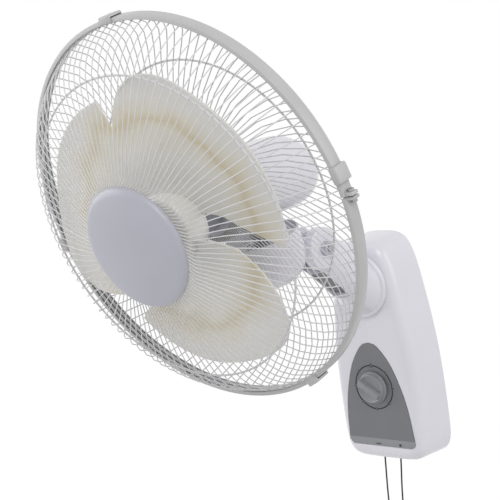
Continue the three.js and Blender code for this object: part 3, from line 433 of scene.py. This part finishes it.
def make_camera():
    """Place and aim the camera as the photograph was taken."""
    deselect()
    bpy.ops.object.camera_add(location=CAMERA_AT)
    camera = bpy.context.object
    camera.name = "photo_camera"
    camera.data.sensor_width = SENSOR_MM
    camera.data.lens = SENSOR_MM * FOCAL_PX / PHOTO_PX
    camera.data.clip_start = 0.01
    sin_a, cos_a = math.sin(AZIMUTH), math.cos(AZIMUTH)
    sin_e, cos_e = math.sin(ELEVATION), math.cos(ELEVATION)
    ahead = Vector((-sin_a * cos_e, cos_a * cos_e, -sin_e))
    right = Vector((cos_a, sin_a, 0))
    up = right.cross(ahead)
    right_rolled = right * math.cos(ROLL) + up * math.sin(ROLL)
    up_rolled = up * math.cos(ROLL) - right * math.sin(ROLL)
    turn = Matrix((right_rolled, up_rolled, -ahead)).transposed().to_4x4()
    camera.matrix_world = Matrix.Translation(camera.location) @ turn
    bpy.context.scene.camera = camera


make_camera()


# ---------- pull cords ----------

CORD_X, CORD_Y = 12, -42
CORD_TOP, CORD_LOW = -118, -300
CORD_STEP = 13
CORD_D = 2
# each cord hangs free from just below its eyelet and bows a little towards -x
CORD_FREE = -146.2
SWING_BOW, SPEED_BOW = 4.5, 7
BELL_H, BELL_GAP = 20, 0.3
# the turned pull, as (radius, height above its lip): a dished end, a rounded lip and a waist
BELL = [(0, 2.5), (3.4, 1.6), (4.4, 0.3), (5.0, 0), (5.5, 0.6), (5.5, 2.2), (5.1, 4.2), (4.2, 8), (3.2, 13),
        (2.5, 17.2), (2.2, 18.6), (1.7, 19.7), (1.2, BELL_H), (0, BELL_H)]


def make_cord(side, x, bow):
    """One pull cord with its bell."""
    route = []
    for z in list(range(CORD_TOP, CORD_LOW, -CORD_STEP)) + [CORD_LOW]:
        t = max(0, (CORD_FREE - z) / (CORD_FREE - CORD_LOW))
        route.append(Vector((x - bow * math.sin(math.pi * t), CORD_Y, z)))
    cord = strand(route, CORD_D / 2, sides=3)
    piece(cord, f"{side}_cord_braid", f"{side}_pull", braid, [f"{side}_cord"], smooth=60)
    low = CORD_LOW - BELL_GAP - BELL_H
    bell = turned([(r, low + h) for r, h in BELL], 48, (x, CORD_Y), upright=True)
    piece(bell, f"{side}_pull_bell", f"{side}_pull", white_abs, [f"{side}_bell"])


make_cord("swing", -CORD_X, SWING_BOW)
make_cord("speed", CORD_X, SPEED_BOW)


# ---------- base ----------

BASE_D = 58
STANDOFF = 0.5
SHELL_T = 2.6
EDGE_R, EDGE_STEPS = 14, 8
LEAN = 3   # how far the sides come in before they roll over
# half of the outline at the wall, from the middle of the top round to the middle of the foot
HALF_OUTLINE = [(0, 135), (10, 134.8), (20, 133.8), (28, 131.2), (34.5, 126.6), (39.5, 119.5),
                (43, 110.5), (47, 96), (51.8, 69), (56.6, 36.5), (59.4, 12.5), (61.2, -9), (62.6, -40),
                (63, -75), (62.6, -105), (61.4, -119), (58, -130), (51.8, -137.6), (43, -141.8),
                (33, -143), (20, -143.3), (10, -143.4), (0, -143.4)]
SOFTENING = 14   # rounds of smoothing that the front-most ring gets
PANEL_TOP, PANEL_LOW, PANEL_HALF = 8.4, -122, 49
PANEL_R, PANEL_T = 7, 1.6
PANEL_GAP = 0.35
POCKET, PANEL_SEAT = 1.4, 1.1   # depths of the pocket and of the panel's back in it
HOOK_SLOTS = (40, -40)
DIAL_Z = -47
NECK_Z = 80


def base_ring(inset, y):
    """The case's outline, drawn in by an inset; its corners soften more and more towards the front."""
    whole = HALF_OUTLINE + [(-x, z) for x, z in reversed(HALF_OUTLINE[1:-1])]
    count = len(whole)
    fine = []
    for k in range(3 * count):
        i, f = divmod(k / 3, 1)
        p = [Vector(whole[int(i + j) % count]) for j in (-1, 0, 1, 2)]
        fine.append(smooth_between(p, f))
    ring = []
    for k, q in enumerate(fine):
        run = fine[(k + 1) % len(fine)] - fine[k - 1]
        inwards = Vector((run.y, -run.x)).normalized() * (-1 if run.y * q.x - run.x * q.y > 0 else 1)
        ring.append(q + inwards * inset)
    for _ in range(round(SOFTENING * inset / (EDGE_R + LEAN))):
        ring = [(ring[k - 1] + ring[(k + 1) % len(ring)]) / 4 + q / 2 for k, q in enumerate(ring)]
    return [(q.x, y, q.y) for q in ring]


def make_base_housing():
    """Sides that lean in a little from the wall, then roll over into the front."""
    side = BASE_D - EDGE_R
    rings = [base_ring(0, -STANDOFF), base_ring(LEAN * 0.4, -side * 0.4), base_ring(LEAN, -side)]
    for k in range(1, EDGE_STEPS + 1):
        a = math.pi / 2 * k / EDGE_STEPS
        rings.append(base_ring(LEAN + EDGE_R * (1 - math.cos(a)), -side - EDGE_R * math.sin(a)))
    return lofted(rings)


HALF_PANEL = [(8.5, 6.6), (13.5, 2.6), (18.5, -3), (24, -10.5), (29, -19), (34.6, -32), (39.8, -48),
              (43, -60), (45.4, -72), (47.4, -88), (48.4, -104)]


def panel_curve(grow):
    """The pointed arch of the panel, from the right of its foot round to the left."""
    w, low = PANEL_HALF + grow, PANEL_LOW - grow
    half = [(w - 14, low)]
    for k in range(7):
        a = math.pi / 2 * k / 6
        half.append((w - PANEL_R * (1 - math.sin(a)), low + PANEL_R * (1 - math.cos(a))))
    half += [(x + grow, z + grow * 0.5) for x, z in reversed(HALF_PANEL)] + [(0, PANEL_TOP + grow)]
    return half + [(-x, z) for x, z in reversed(half[:-1])]


def sheet_from(outline, y, thick):
    """A flat plate with the given outline, its back at y, thickness towards the room."""
    points = [(x, y, z) for x, z in outline]
    drawn(points + [points[0]])
    mend()
    bpy.ops.mesh.select_all(action="SELECT")
    bpy.ops.mesh.edge_face_add()
    bpy.ops.mesh.extrude_region_move(TRANSFORM_OT_translate={"value": (0, -thick * MM, 0)})
    mend()
    return done()


def make_base():
    """The case with its pocket, the grey panel and the back plate."""
    housing = make_base_housing()
    apply_modifier(housing, "SOLIDIFY", thickness=SHELL_T * MM, offset=-1, use_even_offset=False)
    cut(housing, sheet_from(panel_curve(PANEL_GAP), -BASE_D + POCKET, 4))
    piece(housing, "base_shell", "base", white_abs, ["base_housing"], smooth=32)
    panel = sheet_from(panel_curve(0), -BASE_D + PANEL_SEAT, PANEL_T)
    # below a crease the foot of the panel leans back to the case
    edit(panel)
    bpy.ops.mesh.select_all(action="SELECT")
    bpy.ops.mesh.bisect(plane_co=(0, 0, CREASE_Z * MM), plane_no=(0, 0, 1))
    pick(panel, lambda v: v.co.z < (CREASE_Z - 5) * MM and v.co.y < (-BASE_D + 0.5) * MM)
    bpy.ops.transform.translate(value=(0, 1.4 * MM, 0))
    done()
    bevelled(panel, 0.3, 2)
    piece(panel, "dial_panel", "base", panel_spray, ["control_panel"], smooth=20)
    plate = sheet_from([(x, z) for x, _, z in base_ring(3.1, 0)], -3.2, 2.8)
    for z in HOOK_SLOTS:
        plate = cut(plate, block((-8, -7, z - 8), (8, -2, z + 2.2)))
    piece(plate, "back_plate", "base", white_abs, ["base_back_cover"])


make_base()


# ---------- dial and knob ----------

RING_R, RING_LINE = 27.2, 0.75
MARKS = 8
PANEL_FRONT = -BASE_D - 0.7
INK_T, INK_FLAT = 0.12, 0.22
KNOB_TURN = 32
GRIP_HALF_L, GRIP_HALF_W, GRIP_H = 16.8, 5, 13.5
# the skirt, as (radius, height above the knob's back)
SKIRT = [(0, 0.2), (19.4, 0.2), (20, 0.8), (20, 2.2), (19.5, 3), (18.8, 3.4), (18.5, 4.2), (18.1, 7.2),
         (17.6, 8.1), (16.6, 8.5), (15.6, 8.1), (14.8, 7.7), (0, 7.7)]


def make_dial_marks():
    """The printed ring with its gaps, seven ticks and a plain nought at the top."""
    parts = []
    face = PANEL_FRONT - INK_T
    for k in range(MARKS):
        a = k * TURN / MARKS
        middle = a + TURN / MARKS / 2
        arc = [(RING_R * math.sin(middle + t), face, DIAL_Z + RING_R * math.cos(middle + t))
               for t in (math.radians(-19 + 38 * i / 10) for i in range(11))]
        parts.append(strand(arc, RING_LINE, sides=1))
        if k:
            tick = [((RING_R + d) * math.sin(a), face, DIAL_Z + (RING_R + d) * math.cos(a))
                    for d in (-1.6, 2.4)]
            parts.append(strand(tick, 0.55, sides=1))
    nought = [(1.7 * math.sin(a), face, DIAL_Z + RING_R + 2.3 * math.cos(a))
              for a in (TURN * k / 16 for k in range(17))]
    parts.append(strand(nought, 0.4, sides=1))
    # a small dot and a dash at the panel's foot
    foot = -BASE_D + PANEL_SEAT - PANEL_T + RING_LINE
    dot = [(27 + 0.8 * math.sin(a), foot, -118.5 + 0.8 * math.cos(a))
           for a in (TURN * k / 12 for k in range(13))]
    parts += [strand(dot, 0.8, sides=1), strand([(-9, foot, -119), (-2, foot, -119)], 0.5, sides=1)]
    marks = joined(parts)
    take(marks)
    # press the round strands flat, as ink is
    bpy.ops.object.mode_set(mode="EDIT")
    bpy.ops.mesh.select_all(action="SELECT")
    bpy.ops.transform.resize(value=(1, INK_FLAT, 1), center_override=(0, PANEL_FRONT * MM, 0))
    done()
    piece(marks, "dial_marks", "base", ink)


def make_knob():
    """The timer's knob: a turned skirt under a grip bar."""
    back = PANEL_FRONT - 0.3
    skirt = turned([(r, back - h) for r, h in SKIRT], 96, (0, DIAL_Z))
    # grip: a bar across the knob, narrower at its ridge
    bar = block((-GRIP_HALF_L, back - GRIP_H, DIAL_Z - GRIP_HALF_W),
                (GRIP_HALF_L, back - 6, DIAL_Z + GRIP_HALF_W))
    edit(bar)
    pick(bar, lambda v: v.co.y < (back - GRIP_H + 0.5) * MM)
    ridge = (0, (back - GRIP_H) * MM, DIAL_Z * MM)
    bpy.ops.transform.resize(value=(0.95, 1, 0.72), center_override=ridge)
    done()
    bevelled(bar, 0.7, 3)
    to_axis = Matrix.Translation((0, 0, DIAL_Z * MM))
    bar.data.transform(to_axis @ Matrix.Rotation(math.radians(KNOB_TURN), 4, "Y") @ to_axis.inverted())
    knob = merged(skirt, bar)
    piece(knob, "dial_knob", "timer", knob_spray, ["timer_knob"], smooth=35)


make_dial_marks()
make_knob()


# ---------- neck ----------

TILT_Y, TILT_Z = -140, 143
FLANGE_R, FLANGE_T = 39.4, 5
NECK_END_R = 24.5
FORK_SLOT, FORK_W = 25.2, 50
HOLLOW_HALF, HOLLOW_TOP = 13, -16   # the open underside, from the arm's middle line
STATIONS = 12


def make_neck():
    """A round flange, an arm that rises and narrows to a fork round the tilt hinge."""
    front = -BASE_D - 0.3
    start = front - FLANGE_T
    flange = turned([(0, front), (FLANGE_R - 0.6, front), (FLANGE_R, front - 0.6), (FLANGE_R, start + 2),
                     (FLANGE_R - 0.7, start + 0.7), (FLANGE_R - 2, start), (FLANGE_R - 4, start - 0.4),
                     (0, start - 0.4)],
                    96, (0, NECK_Z))
    lean_full = math.atan2(TILT_Z - NECK_Z, start - TILT_Y)
    rings = []
    for k in range(STATIONS + 1):
        t = k / STATIONS
        radius = FLANGE_R - 3.5 - (FLANGE_R - 3.5 - NECK_END_R) * (1 - (1 - t) ** 1.6)
        lean = lean_full * min(1.0, 1.35 * t)
        y = start + (TILT_Y - start) * t
        z = NECK_Z + (TILT_Z - NECK_Z) * t + 5 * math.sin(math.pi * t)
        rings.append((Vector((0, y, z)), radius, lean))
    deselect()
    bpy.ops.mesh.primitive_circle_add(vertices=64, radius=1, rotation=(math.pi / 2, 0, 0))
    arm = bpy.context.object
    bpy.ops.object.transform_apply(location=True, rotation=True, scale=True)
    points = [v.co.copy() for v in arm.data.vertices]
    bpy.ops.object.mode_set(mode="EDIT")
    bpy.ops.mesh.select_all(action="SELECT")
    for k in range(STATIONS):
        bpy.ops.mesh.extrude_region_move(TRANSFORM_OT_translate={"value": (0, -1, 0)})
    done()
    rows = {}
    for v in arm.data.vertices:
        rows.setdefault(round(-v.co.y), []).append(v)
    for k, (centre, radius, lean) in enumerate(rings):
        for v in rows[k]:
            up = Vector((0, math.sin(lean), math.cos(lean)))
            v.co = (centre + Vector((v.co.x * radius, 0, 0)) + up * (v.co.z * radius)) * MM
    edit(arm)
    bpy.ops.mesh.select_mode(type="EDGE")
    bpy.ops.mesh.select_all(action="DESELECT")
    bpy.ops.mesh.select_non_manifold()
    bpy.ops.mesh.edge_face_add()
    mend()
    done()
    fork = bevelled(cylinder(NECK_END_R, FORK_W, (0, TILT_Y * MM, TILT_Z * MM)), 2.2, 4)
    arm = merged(arm, fork)
    slot = block((-FORK_SLOT / 2, -60, -70), (FORK_SLOT / 2, 19, 70))
    slot.data.transform(Matrix.Translation((0, TILT_Y * MM, TILT_Z * MM))
                        @ Matrix.Rotation(-lean_full, 4, "X"))
    arm = cut(arm, slot)
    # the open underside of the arm, with a dark plate set into it as painted shade
    run = math.hypot(TILT_Y - start, TILT_Z - NECK_Z)
    middle = Vector((0, (TILT_Y + start) / 2, (TILT_Z + NECK_Z) / 2))
    along_arm = Matrix.Translation(middle * MM) @ Matrix.Rotation(-lean_full, 4, "X")

    def under(half_w, low, high, half_l):
        """A strip along the arm's middle line."""
        strip = block((-half_w, -half_l, low), (half_w, half_l, high))
        strip.data.transform(along_arm)
        return strip

    arm = cut(arm, bevelled(under(HOLLOW_HALF, -60, HOLLOW_TOP, run * 0.30), 3, 4))
    neck = merged(arm, flange)
    piece(neck, "neck_moulding", "base", white_abs, ["neck_arm"], smooth=35)
    # the dark plate paints the shade inside the hollow under the arm
    plate = under(HOLLOW_HALF - 0.3, HOLLOW_TOP - 2.4, HOLLOW_TOP - 0.2, run * 0.295)
    piece(plate, "neck_under_shade_plate", "base", painted_under_arm_shade)


make_neck()


# ---------- yoke ----------

SWING_S = 88
YOKE_R, YOKE_WALL, YOKE_TOP, YOKE_LOW = 43, 2.4, -68, -127


def make_yoke_cover():
    """The round bowl under the motor, cut free of the tilt hinge."""
    r, w, low = YOKE_R, YOKE_WALL, YOKE_LOW
    outer = [(0, low), (r * 0.3, low + 0.5), (r * 0.5, low + 1.8), (r * 0.65, low + 4.6),
             (r * 0.76, low + 8.5), (r * 0.86, low + 13.6), (r * 0.92, low + 19), (r * 0.97, low + 26),
             (r, low + 34), (r, YOKE_TOP - 1.2), (r - 0.3, YOKE_TOP - 0.4), (r - 1.1, YOKE_TOP)]
    inner = [(r - w, YOKE_TOP), (r - w, low + 34.5), (r * 0.92 - w, low + 20), (r * 0.76 - w, low + 10.2),
             (r * 0.5 - w, low + 4.2), (0, low + w)]
    bowl = turned(outer + inner, 96, (0, SWING_S), upright=True)
    hinge = HEAD.inverted() @ Vector((0, TILT_Y * MM, TILT_Z * MM)) / MM
    bowl = cut(bowl, cylinder(NECK_END_R + 1.5, FORK_W + 4, hinge * MM))
    bowl = cut(bowl, block((-12.8, SWING_S + 30, -112), (12.8, SWING_S + 60, -80)))
    piece(bowl, "yoke_bowl", "yoke", white_abs, ["yoke_cover"], HEAD, smooth=35)


make_yoke_cover()


# ---------- motor ----------

BELL_FRONT, BELL_REAR = 27, 62
NOSE_VENTS, RIM_VENTS = 9, 8
TAIL_T = 2.4
NOSE_FRONT = -9
COVER_FRONT = BELL_REAR + 0.3
TAIL = [(0, 0, 49), (6, 0.6, 48.6), (18, 3, 46.5), (38, 8, 44), (56, 12, 43.6), (76, 16, 43),
        (90, 18.4, 41.8), (100, 20, 39.6), (108, 21.2, 35.8), (114, 22.2, 31), (119, 23, 24.5),
        (122, 23.6, 17), (123.6, 24, 8), (124, 24, 0.5)]


def make_tail():
    """The long cover's skin, drooping and closing towards its end."""
    deselect()
    bpy.ops.mesh.primitive_circle_add(vertices=96, radius=1, rotation=(math.pi / 2, 0, 0))
    tail = bpy.context.object
    bpy.ops.object.transform_apply(location=True, rotation=True, scale=True)
    bpy.ops.object.mode_set(mode="EDIT")
    bpy.ops.mesh.select_all(action="SELECT")
    for _ in TAIL[1:]:
        bpy.ops.mesh.extrude_region_move(TRANSFORM_OT_translate={"value": (0, 1, 0)})
    done()
    for v in tail.data.vertices:
        run, drop, radius = TAIL[round(v.co.y)]
        v.co = Vector((v.co.x * radius, COVER_FRONT + run, v.co.z * radius - drop)) * MM
    edit(tail)
    pick(tail, lambda v: v.co.y > (COVER_FRONT + TAIL[-1][0] - 0.1) * MM)
    bpy.ops.mesh.merge(type="CENTER")
    mend()
    done()
    return apply_modifier(tail, "SOLIDIFY", thickness=TAIL_T * MM, offset=-1, use_even_offset=True)


def make_motor():
    """The rear cover with its slots, and the alloy bell with its vents."""
    tail = make_tail()
    post_hole = cylinder(13.5, 40, (0, SWING_S * MM, -50 * MM), across=False, sides=48)
    tail = cut(tail, post_hole)
    for k in (-1, 0, 1):
        slot = block((-14, COVER_FRONT + 98, -24 + 7 * k), (14, COVER_FRONT + 130, -21 + 7 * k))
        tail = cut(tail, bevelled(slot, 1.2, 3))
    piece(tail, "motor_tail_cover", "head", white_abs, ["motor_rear_cover"], HEAD, smooth=35)

    front = BELL_FRONT
    nose = NOSE_FRONT
    bell = turned([(6, nose), (25, nose), (26.6, nose + 0.4), (27.6, nose + 1.6), (28, nose + 3.4),
                   (28, front), (43, front), (45.2, front + 0.4), (47.2, front + 1.6),
                   (48.5, front + 3.4), (49, front + 5.6), (49, BELL_REAR), (46.5, BELL_REAR),
                   (46.5, front + 6), (43, front + 2.5), (12, front + 2.5), (12, front + 7.5),
                   (9.3, front + 7.5), (9.3, front + 1), (6, front + 1), (6, nose)], 96)
    for k in range(NOSE_VENTS):
        hole = bevelled(block((14, nose - 1, -2.4), (22.5, nose + 6, 2.4)), 1.0, 3, 80)
        hole.data.transform(Matrix.Rotation(TURN * k / NOSE_VENTS, 4, "Y"))
        bell = cut(bell, hole)
    for k in range(RIM_VENTS):
        vent = bevelled(block((34, front - 1, -2.5), (42, front + 4, 2.5)), 1.0, 3, 80)
        vent.data.transform(Matrix.Rotation(TURN * (k + 0.5) / RIM_VENTS, 4, "Y"))
        bell = cut(bell, vent)
    piece(bell, "motor_bell", "head", sprayed_alloy, ["motor_front_bell"], HEAD, smooth=35)


make_motor()


# ---------- guard ----------

HOOP_R, HOOP_HALF = 215, 7.5
LUG_ANGLE, CLIP_ANGLES = 3, (9, 94, 188, 298)
BADGE_EDGE, BADGE_RISE = -87, 6
WIRE_R = 0.6
FRONT_COUNT, REAR_COUNT = 108, 108
FRONT_RUN = [(-83.2, 58), (-80.4, 64), (-77.6, 72), (-76.4, 76), (-66.4, 108), (-50, 160), (-44.6, 173.5),
             (-36.6, 186), (-25.4, 197), (-12.2, 205), (-2.6, 209.6)]
REAR_RUN = [(25.5, 34), (25.5, 50), (30, 58), (37.5, 71), (40.2, 90), (41, 120), (41, 150), (39.4, 170),
            (34, 187), (24, 198.5), (12, 205), (2.6, 209.6)]
# rings as (radius, place, wire radius)
FRONT_RINGS = [(60, -82.4, 1.3), (167.5, -45.2, 1.1), (210.8, -2.7, 1.7)]
REAR_RINGS = [(152, 42.1, 1.1), (210.8, 2.7, 1.7)]
REAR_TWIST = math.radians(34)
FRONT_TWIST = math.radians(5)
KINK_R, KINK = 72, math.radians(8)


def wire_points(run, twist, kink=0.0):
    """One wire of a grille: its run back and out, its twist about the shaft, its kink beside the badge."""
    reach = run[-1][1] - run[0][1]
    points = []
    for s, r in run:
        a = twist * (r - run[0][1]) / reach - kink * max(0, (KINK_R - r) / (KINK_R - run[0][1]))
        points.append((r * math.sin(a), s, r * math.cos(a)))
    return points


def make_grilles():
    """Both grilles: wires about the shaft and their rings."""
    wires = around(strand(wire_points(FRONT_RUN, FRONT_TWIST, KINK), WIRE_R), FRONT_COUNT)
    front = joined([wires] + [hoop(*ring) for ring in FRONT_RINGS])
    piece(front, "front_wires", "head", dipped_wire, ["front_grille"], HEAD, smooth=60)
    wires = around(strand(wire_points(REAR_RUN, REAR_TWIST), WIRE_R), REAR_COUNT)
    plate = turned([(28.4, 24.6), (28.4, 26.6), (36, 26.6), (36.4, 26), (36.4, 25), (36, 24.4),
                    (28.4, 24.4), (28.4, 24.6)])
    rear = joined([wires, plate] + [hoop(*ring) for ring in REAR_RINGS])
    piece(rear, "rear_wires", "head", dipped_wire, ["rear_grille"], HEAD, smooth=60)


def make_hoop():
    """The channel round the grilles, its lugs and split, and four clips."""
    half, inner, lip = HOOP_HALF, 213.2, 210.6
    section = [(213.9, -half), (214.6, -half + 0.3), (215, -half + 1.1), (215, half - 1.1),
               (214.6, half - 0.3), (213.9, half), (lip, half), (lip, half - 1.4), (inner, half - 1.4),
               (inner, -half + 1.4), (lip, -half + 1.4), (lip, -half), (213.9, -half)]
    aged_and_shaded_band = turned(section, 192)
    lugs = bevelled(block((HOOP_R - 1.5, -5, -4), (HOOP_R + 8, 5, 4)), 1.2, 3)
    aged_and_shaded_band = merged(aged_and_shaded_band, turn_about(lugs, LUG_ANGLE))
    split = block((HOOP_R - 12, -9, -0.8), (HOOP_R + 12, 9, 0.8))
    aged_and_shaded_band = cut(aged_and_shaded_band, turn_about(split, LUG_ANGLE))
    piece(aged_and_shaded_band, "hoop_channel", "head", nylon, ["guard_hoop"], HEAD, smooth=35)
    for k, angle in enumerate(CLIP_ANGLES):
        clip = make_clip()
        piece(turn_about(clip, angle), f"hoop_clip_{k + 1}_moulded", "head", nylon,
              [f"hoop_clip_{k + 1}"], HEAD, smooth=35)


def turn_about(obj, degrees):
    """Turn a piece about the shaft, counted from +x towards +z."""
    obj.data.transform(Matrix.Rotation(-math.radians(degrees), 4, "Y"))
    return obj


def make_clip():
    """A moulded C that hugs the channel."""
    body = block((HOOP_R - 5, -HOOP_HALF - 2.1, -8.5), (HOOP_R + 3.4, HOOP_HALF + 2.1, 8.5))
    body = bevelled(body, 1.6, 4)
    return cut(body, block((HOOP_R - 9, -HOOP_HALF - 0.3, -12), (HOOP_R + 0.9, HOOP_HALF + 0.3, 12)))


def make_badge():
    """The domed disc, left bare."""
    edge = BADGE_EDGE
    dome = [(62 * t, edge - BADGE_RISE * (1 - t * t)) for t in (k / 14 for k in range(15))]
    badge = turned(dome + [(62.5, edge + 0.2), (63.2, edge + 0.4), (64.2, edge + 0.9),
                           (65.2, edge + 1.9), (65.8, edge + 3.2), (66, edge + 4.4), (66, edge + 6),
                           (63.8, edge + 6), (63.4, edge + 4), (61, edge + 2.4), (0, edge + 2.4)], 128)
    piece(badge, "front_badge", "head", grey_abs, ["badge"], HEAD, smooth=28)


make_grilles()
make_hoop()
make_badge()


# ---------- blades ----------

BLADE_T = 2.0
CUP_FRONT, CUP_REAR = -46, -15
SPINNER_BACK = -46.3
# outline in (radius, degrees from +x towards +z), as it shows from the front
LEAD = [(36, 10), (65, 3), (82, -3), (105, -7.5), (128, -10), (147, -11)]
TRAIL = [(36, 100), (60, 106), (92, 106), (109, 101.5), (121, 98.5), (139, 92.5), (150, 88.5), (157, 84.5)]
TIP = [(147, -11), (152, 1), (156, 13), (159, 25), (160.5, 37), (161.5, 45), (163.5, 52), (166.5, 60),
       (169, 67), (168.5, 74), (165, 80), (157, 84.5)]
BLADE_U, BLADE_V = 20, 28
# places of the rear and front edges along the shaft at the root, and what they gain by the tip
REAR_S, REAR_GAIN = -17, -11
FRONT_S, FRONT_GAIN = -40, -1
CAMBER, CAMBER_LOSS = 5, 3


def along(points, t):
    """A point at share t of a list, eased through its corners."""
    x = t * (len(points) - 1)
    i = min(int(x), len(points) - 2)
    p = [Vector(points[max(min(j, len(points) - 1), 0)]) for j in (i - 1, i, i + 1, i + 2)]
    return smooth_between(p, x - i)


def blade_point(u, v):
    """u runs from hub to tip, v from the straight rear edge to the rounded front edge."""
    hub = Vector((36, 10 + 90 * v))
    lead, trail, tip = along(LEAD, u), along(TRAIL, u), along(TIP, v)
    flat = ((1 - v) * lead + v * trail + (1 - u) * hub + u * tip
            - (1 - u) * (1 - v) * Vector(LEAD[0]) - u * (1 - v) * Vector(LEAD[-1])
            - (1 - u) * v * Vector(TRAIL[0]) - u * v * Vector(TRAIL[-1]))
    r, a = flat.x, math.radians(flat.y)
    rear, front = REAR_S + REAR_GAIN * u, FRONT_S + FRONT_GAIN * u
    s = rear + (front - rear) * v + (CAMBER - CAMBER_LOSS * u) * math.sin(math.pi * v)
    return Vector((r * math.cos(a), s, r * math.sin(a))) * MM


def make_impeller():
    """The blades on their cup, and the nut that holds them."""
    deselect()
    bpy.ops.mesh.primitive_grid_add(x_subdivisions=BLADE_U, y_subdivisions=BLADE_V, size=1)
    blade = bpy.context.object
    for v in blade.data.vertices:
        v.co = blade_point(v.co.x + 0.5, v.co.y + 0.5)
    apply_modifier(blade, "SOLIDIFY", thickness=BLADE_T * MM, offset=0, use_even_offset=True)
    bevelled(blade, 0.8, 3, 60)
    blades = around(blade, 3)
    front, rear = CUP_FRONT, CUP_REAR
    cup = turned([(4.3, front + 0.6), (30, front), (33, front + 0.5), (35.6, front + 1.9),
                  (37.3, front + 4.2), (38, front + 7.4), (38, rear - 0.6), (37.4, rear), (35.4, rear),
                  (35.4, front + 7), (31, front + 2.6), (9, front + 2.6), (9, rear - 4), (4.3, rear - 4),
                  (4.3, front + 0.6)], 96)
    impeller = joined([cup, blades])
    piece(impeller, "blade_moulding", "blades", milky_styrene, ["impeller"], HEAD, smooth=45)
    nose = SPINNER_BACK
    spinner = turned([(0, nose - 15), (3, nose - 14.8), (7, nose - 13.8), (10.4, nose - 11.8),
                      (13.4, nose - 8.6), (15.4, nose - 4.6), (16, nose), (4.4, nose), (4.4, nose - 7.9),
                      (0, nose - 7.9)], 64)
    piece(spinner, "spinner_nut", "blades", grey_abs, ["blade_nut"], HEAD)


make_impeller()


# ---------- CAD pieces that keep their shape ----------

KEPT = {
    zinc: ["wall_bracket", "neck_stiffener", "tilt_bolt", "swing_crank", "swing_post", "swing_washer",
           "motor_bracket", "front_bearing", "rear_bearing", "motor_rear_bell", "hoop_screw", "motor_shaft"],
    laminations: ["stator", "motor_rotor", "swing_motor"],
    black_nylon: ["timer_body", "swing_switch", "speed_switch", "run_capacitor", "swing_eyelet",
                  "speed_eyelet", "power_inlet"],
    grey_abs: ["grille_nut", "yoke_frame", "tilt_nut", "terminal_block"],
}
for material, names in KEPT.items():
    for name in names:
        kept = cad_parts[name]
        kept.data.materials.clear()
        kept.data.materials.append(material)


# ---------- studio ----------

FLOOR_Z = -1.1
FLOOR_GLOW, FLOOR_LIT, FLOOR_BOUNCE = 0.955, 0.09, 0.8
SOFT_LIGHT = 0.55
# name, place, aim, size in metres and watts
LAMPS = [("key", (1.6, -1.9, 2.0), (0, -0.25, 0.15), 1.6, 26),
         ("side", (2.2, 0.6, 0.9), (0, -0.1, 0.0), 1.4, 10),
         ("left", (-1.9, -1.4, 0.7), (0, -0.25, 0.1), 1.5, 16)]


def shown_rays(owner):
    """1 for rays that show a thing to the camera, straight, mirrored or through, and 0 for light."""
    rays = node(owner, "ShaderNodeLightPath")
    seen = node(owner, "ShaderNodeMath", [(rays, "Is Camera Ray", 0), (rays, "Is Glossy Ray", 1)],
                operation="MAXIMUM")
    return node(owner, "ShaderNodeMath", [(seen, "Value", 0), (rays, "Is Transmission Ray", 1)],
                operation="MAXIMUM")


def studio_white():
    """Pale floor: white to the camera, with a little lit surface added that takes the shadow."""
    material = bpy.data.materials.new("painted_studio_floor")
    material.use_nodes = True
    material.node_tree.nodes.clear()
    shown = shown_rays(material)
    plain = node(material, "ShaderNodeBsdfDiffuse", in_Color=(FLOOR_BOUNCE,) * 3 + (1,))
    glow = node(material, "ShaderNodeEmission", in_Strength=FLOOR_GLOW)
    faint = node(material, "ShaderNodeBsdfDiffuse", in_Color=(FLOOR_LIT,) * 3 + (1,))
    both = node(material, "ShaderNodeAddShader", [(glow, "Emission", 0), (faint, "BSDF", 1)])
    mixed = node(material, "ShaderNodeMixShader",
                 [(shown, "Value", "Fac"), (plain, "BSDF", 1), (both, "Shader", 2)])
    node(material, "ShaderNodeOutputMaterial", [(mixed, "Shader", "Surface")])
    return material


def make_studio():
    """Floor, world and lamps."""
    deselect()
    bpy.ops.mesh.primitive_plane_add(size=30, location=(0, 0, FLOOR_Z))
    floor = bpy.context.object
    floor.name = "studio_floor"
    floor.data.materials.append(studio_white())
    world = bpy.data.worlds.new("studio")
    bpy.context.scene.world = world
    world.use_nodes = True
    world.node_tree.nodes.clear()
    shown = shown_rays(world)
    soft = node(world, "ShaderNodeBackground", in_Color=(1, 1, 1, 1), in_Strength=SOFT_LIGHT)
    white = node(world, "ShaderNodeBackground", in_Color=(1, 1, 1, 1), in_Strength=1.0)
    mixed = node(world, "ShaderNodeMixShader",
                 [(shown, "Value", "Fac"), (soft, "Background", 1), (white, "Background", 2)])
    node(world, "ShaderNodeOutputWorld", [(mixed, "Shader", "Surface")])
    for name, place, aim, size, power in LAMPS:
        bpy.ops.object.light_add(type="AREA", location=place)
        lamp = bpy.context.object
        lamp.name = f"{name}_softbox"
        lamp.data.size = size
        lamp.data.energy = power
        lamp.rotation_euler = (Vector(aim) - Vector(place)).to_track_quat("-Z", "Y").to_euler()


make_studio()
bpy.context.scene.view_settings.view_transform = "Standard"
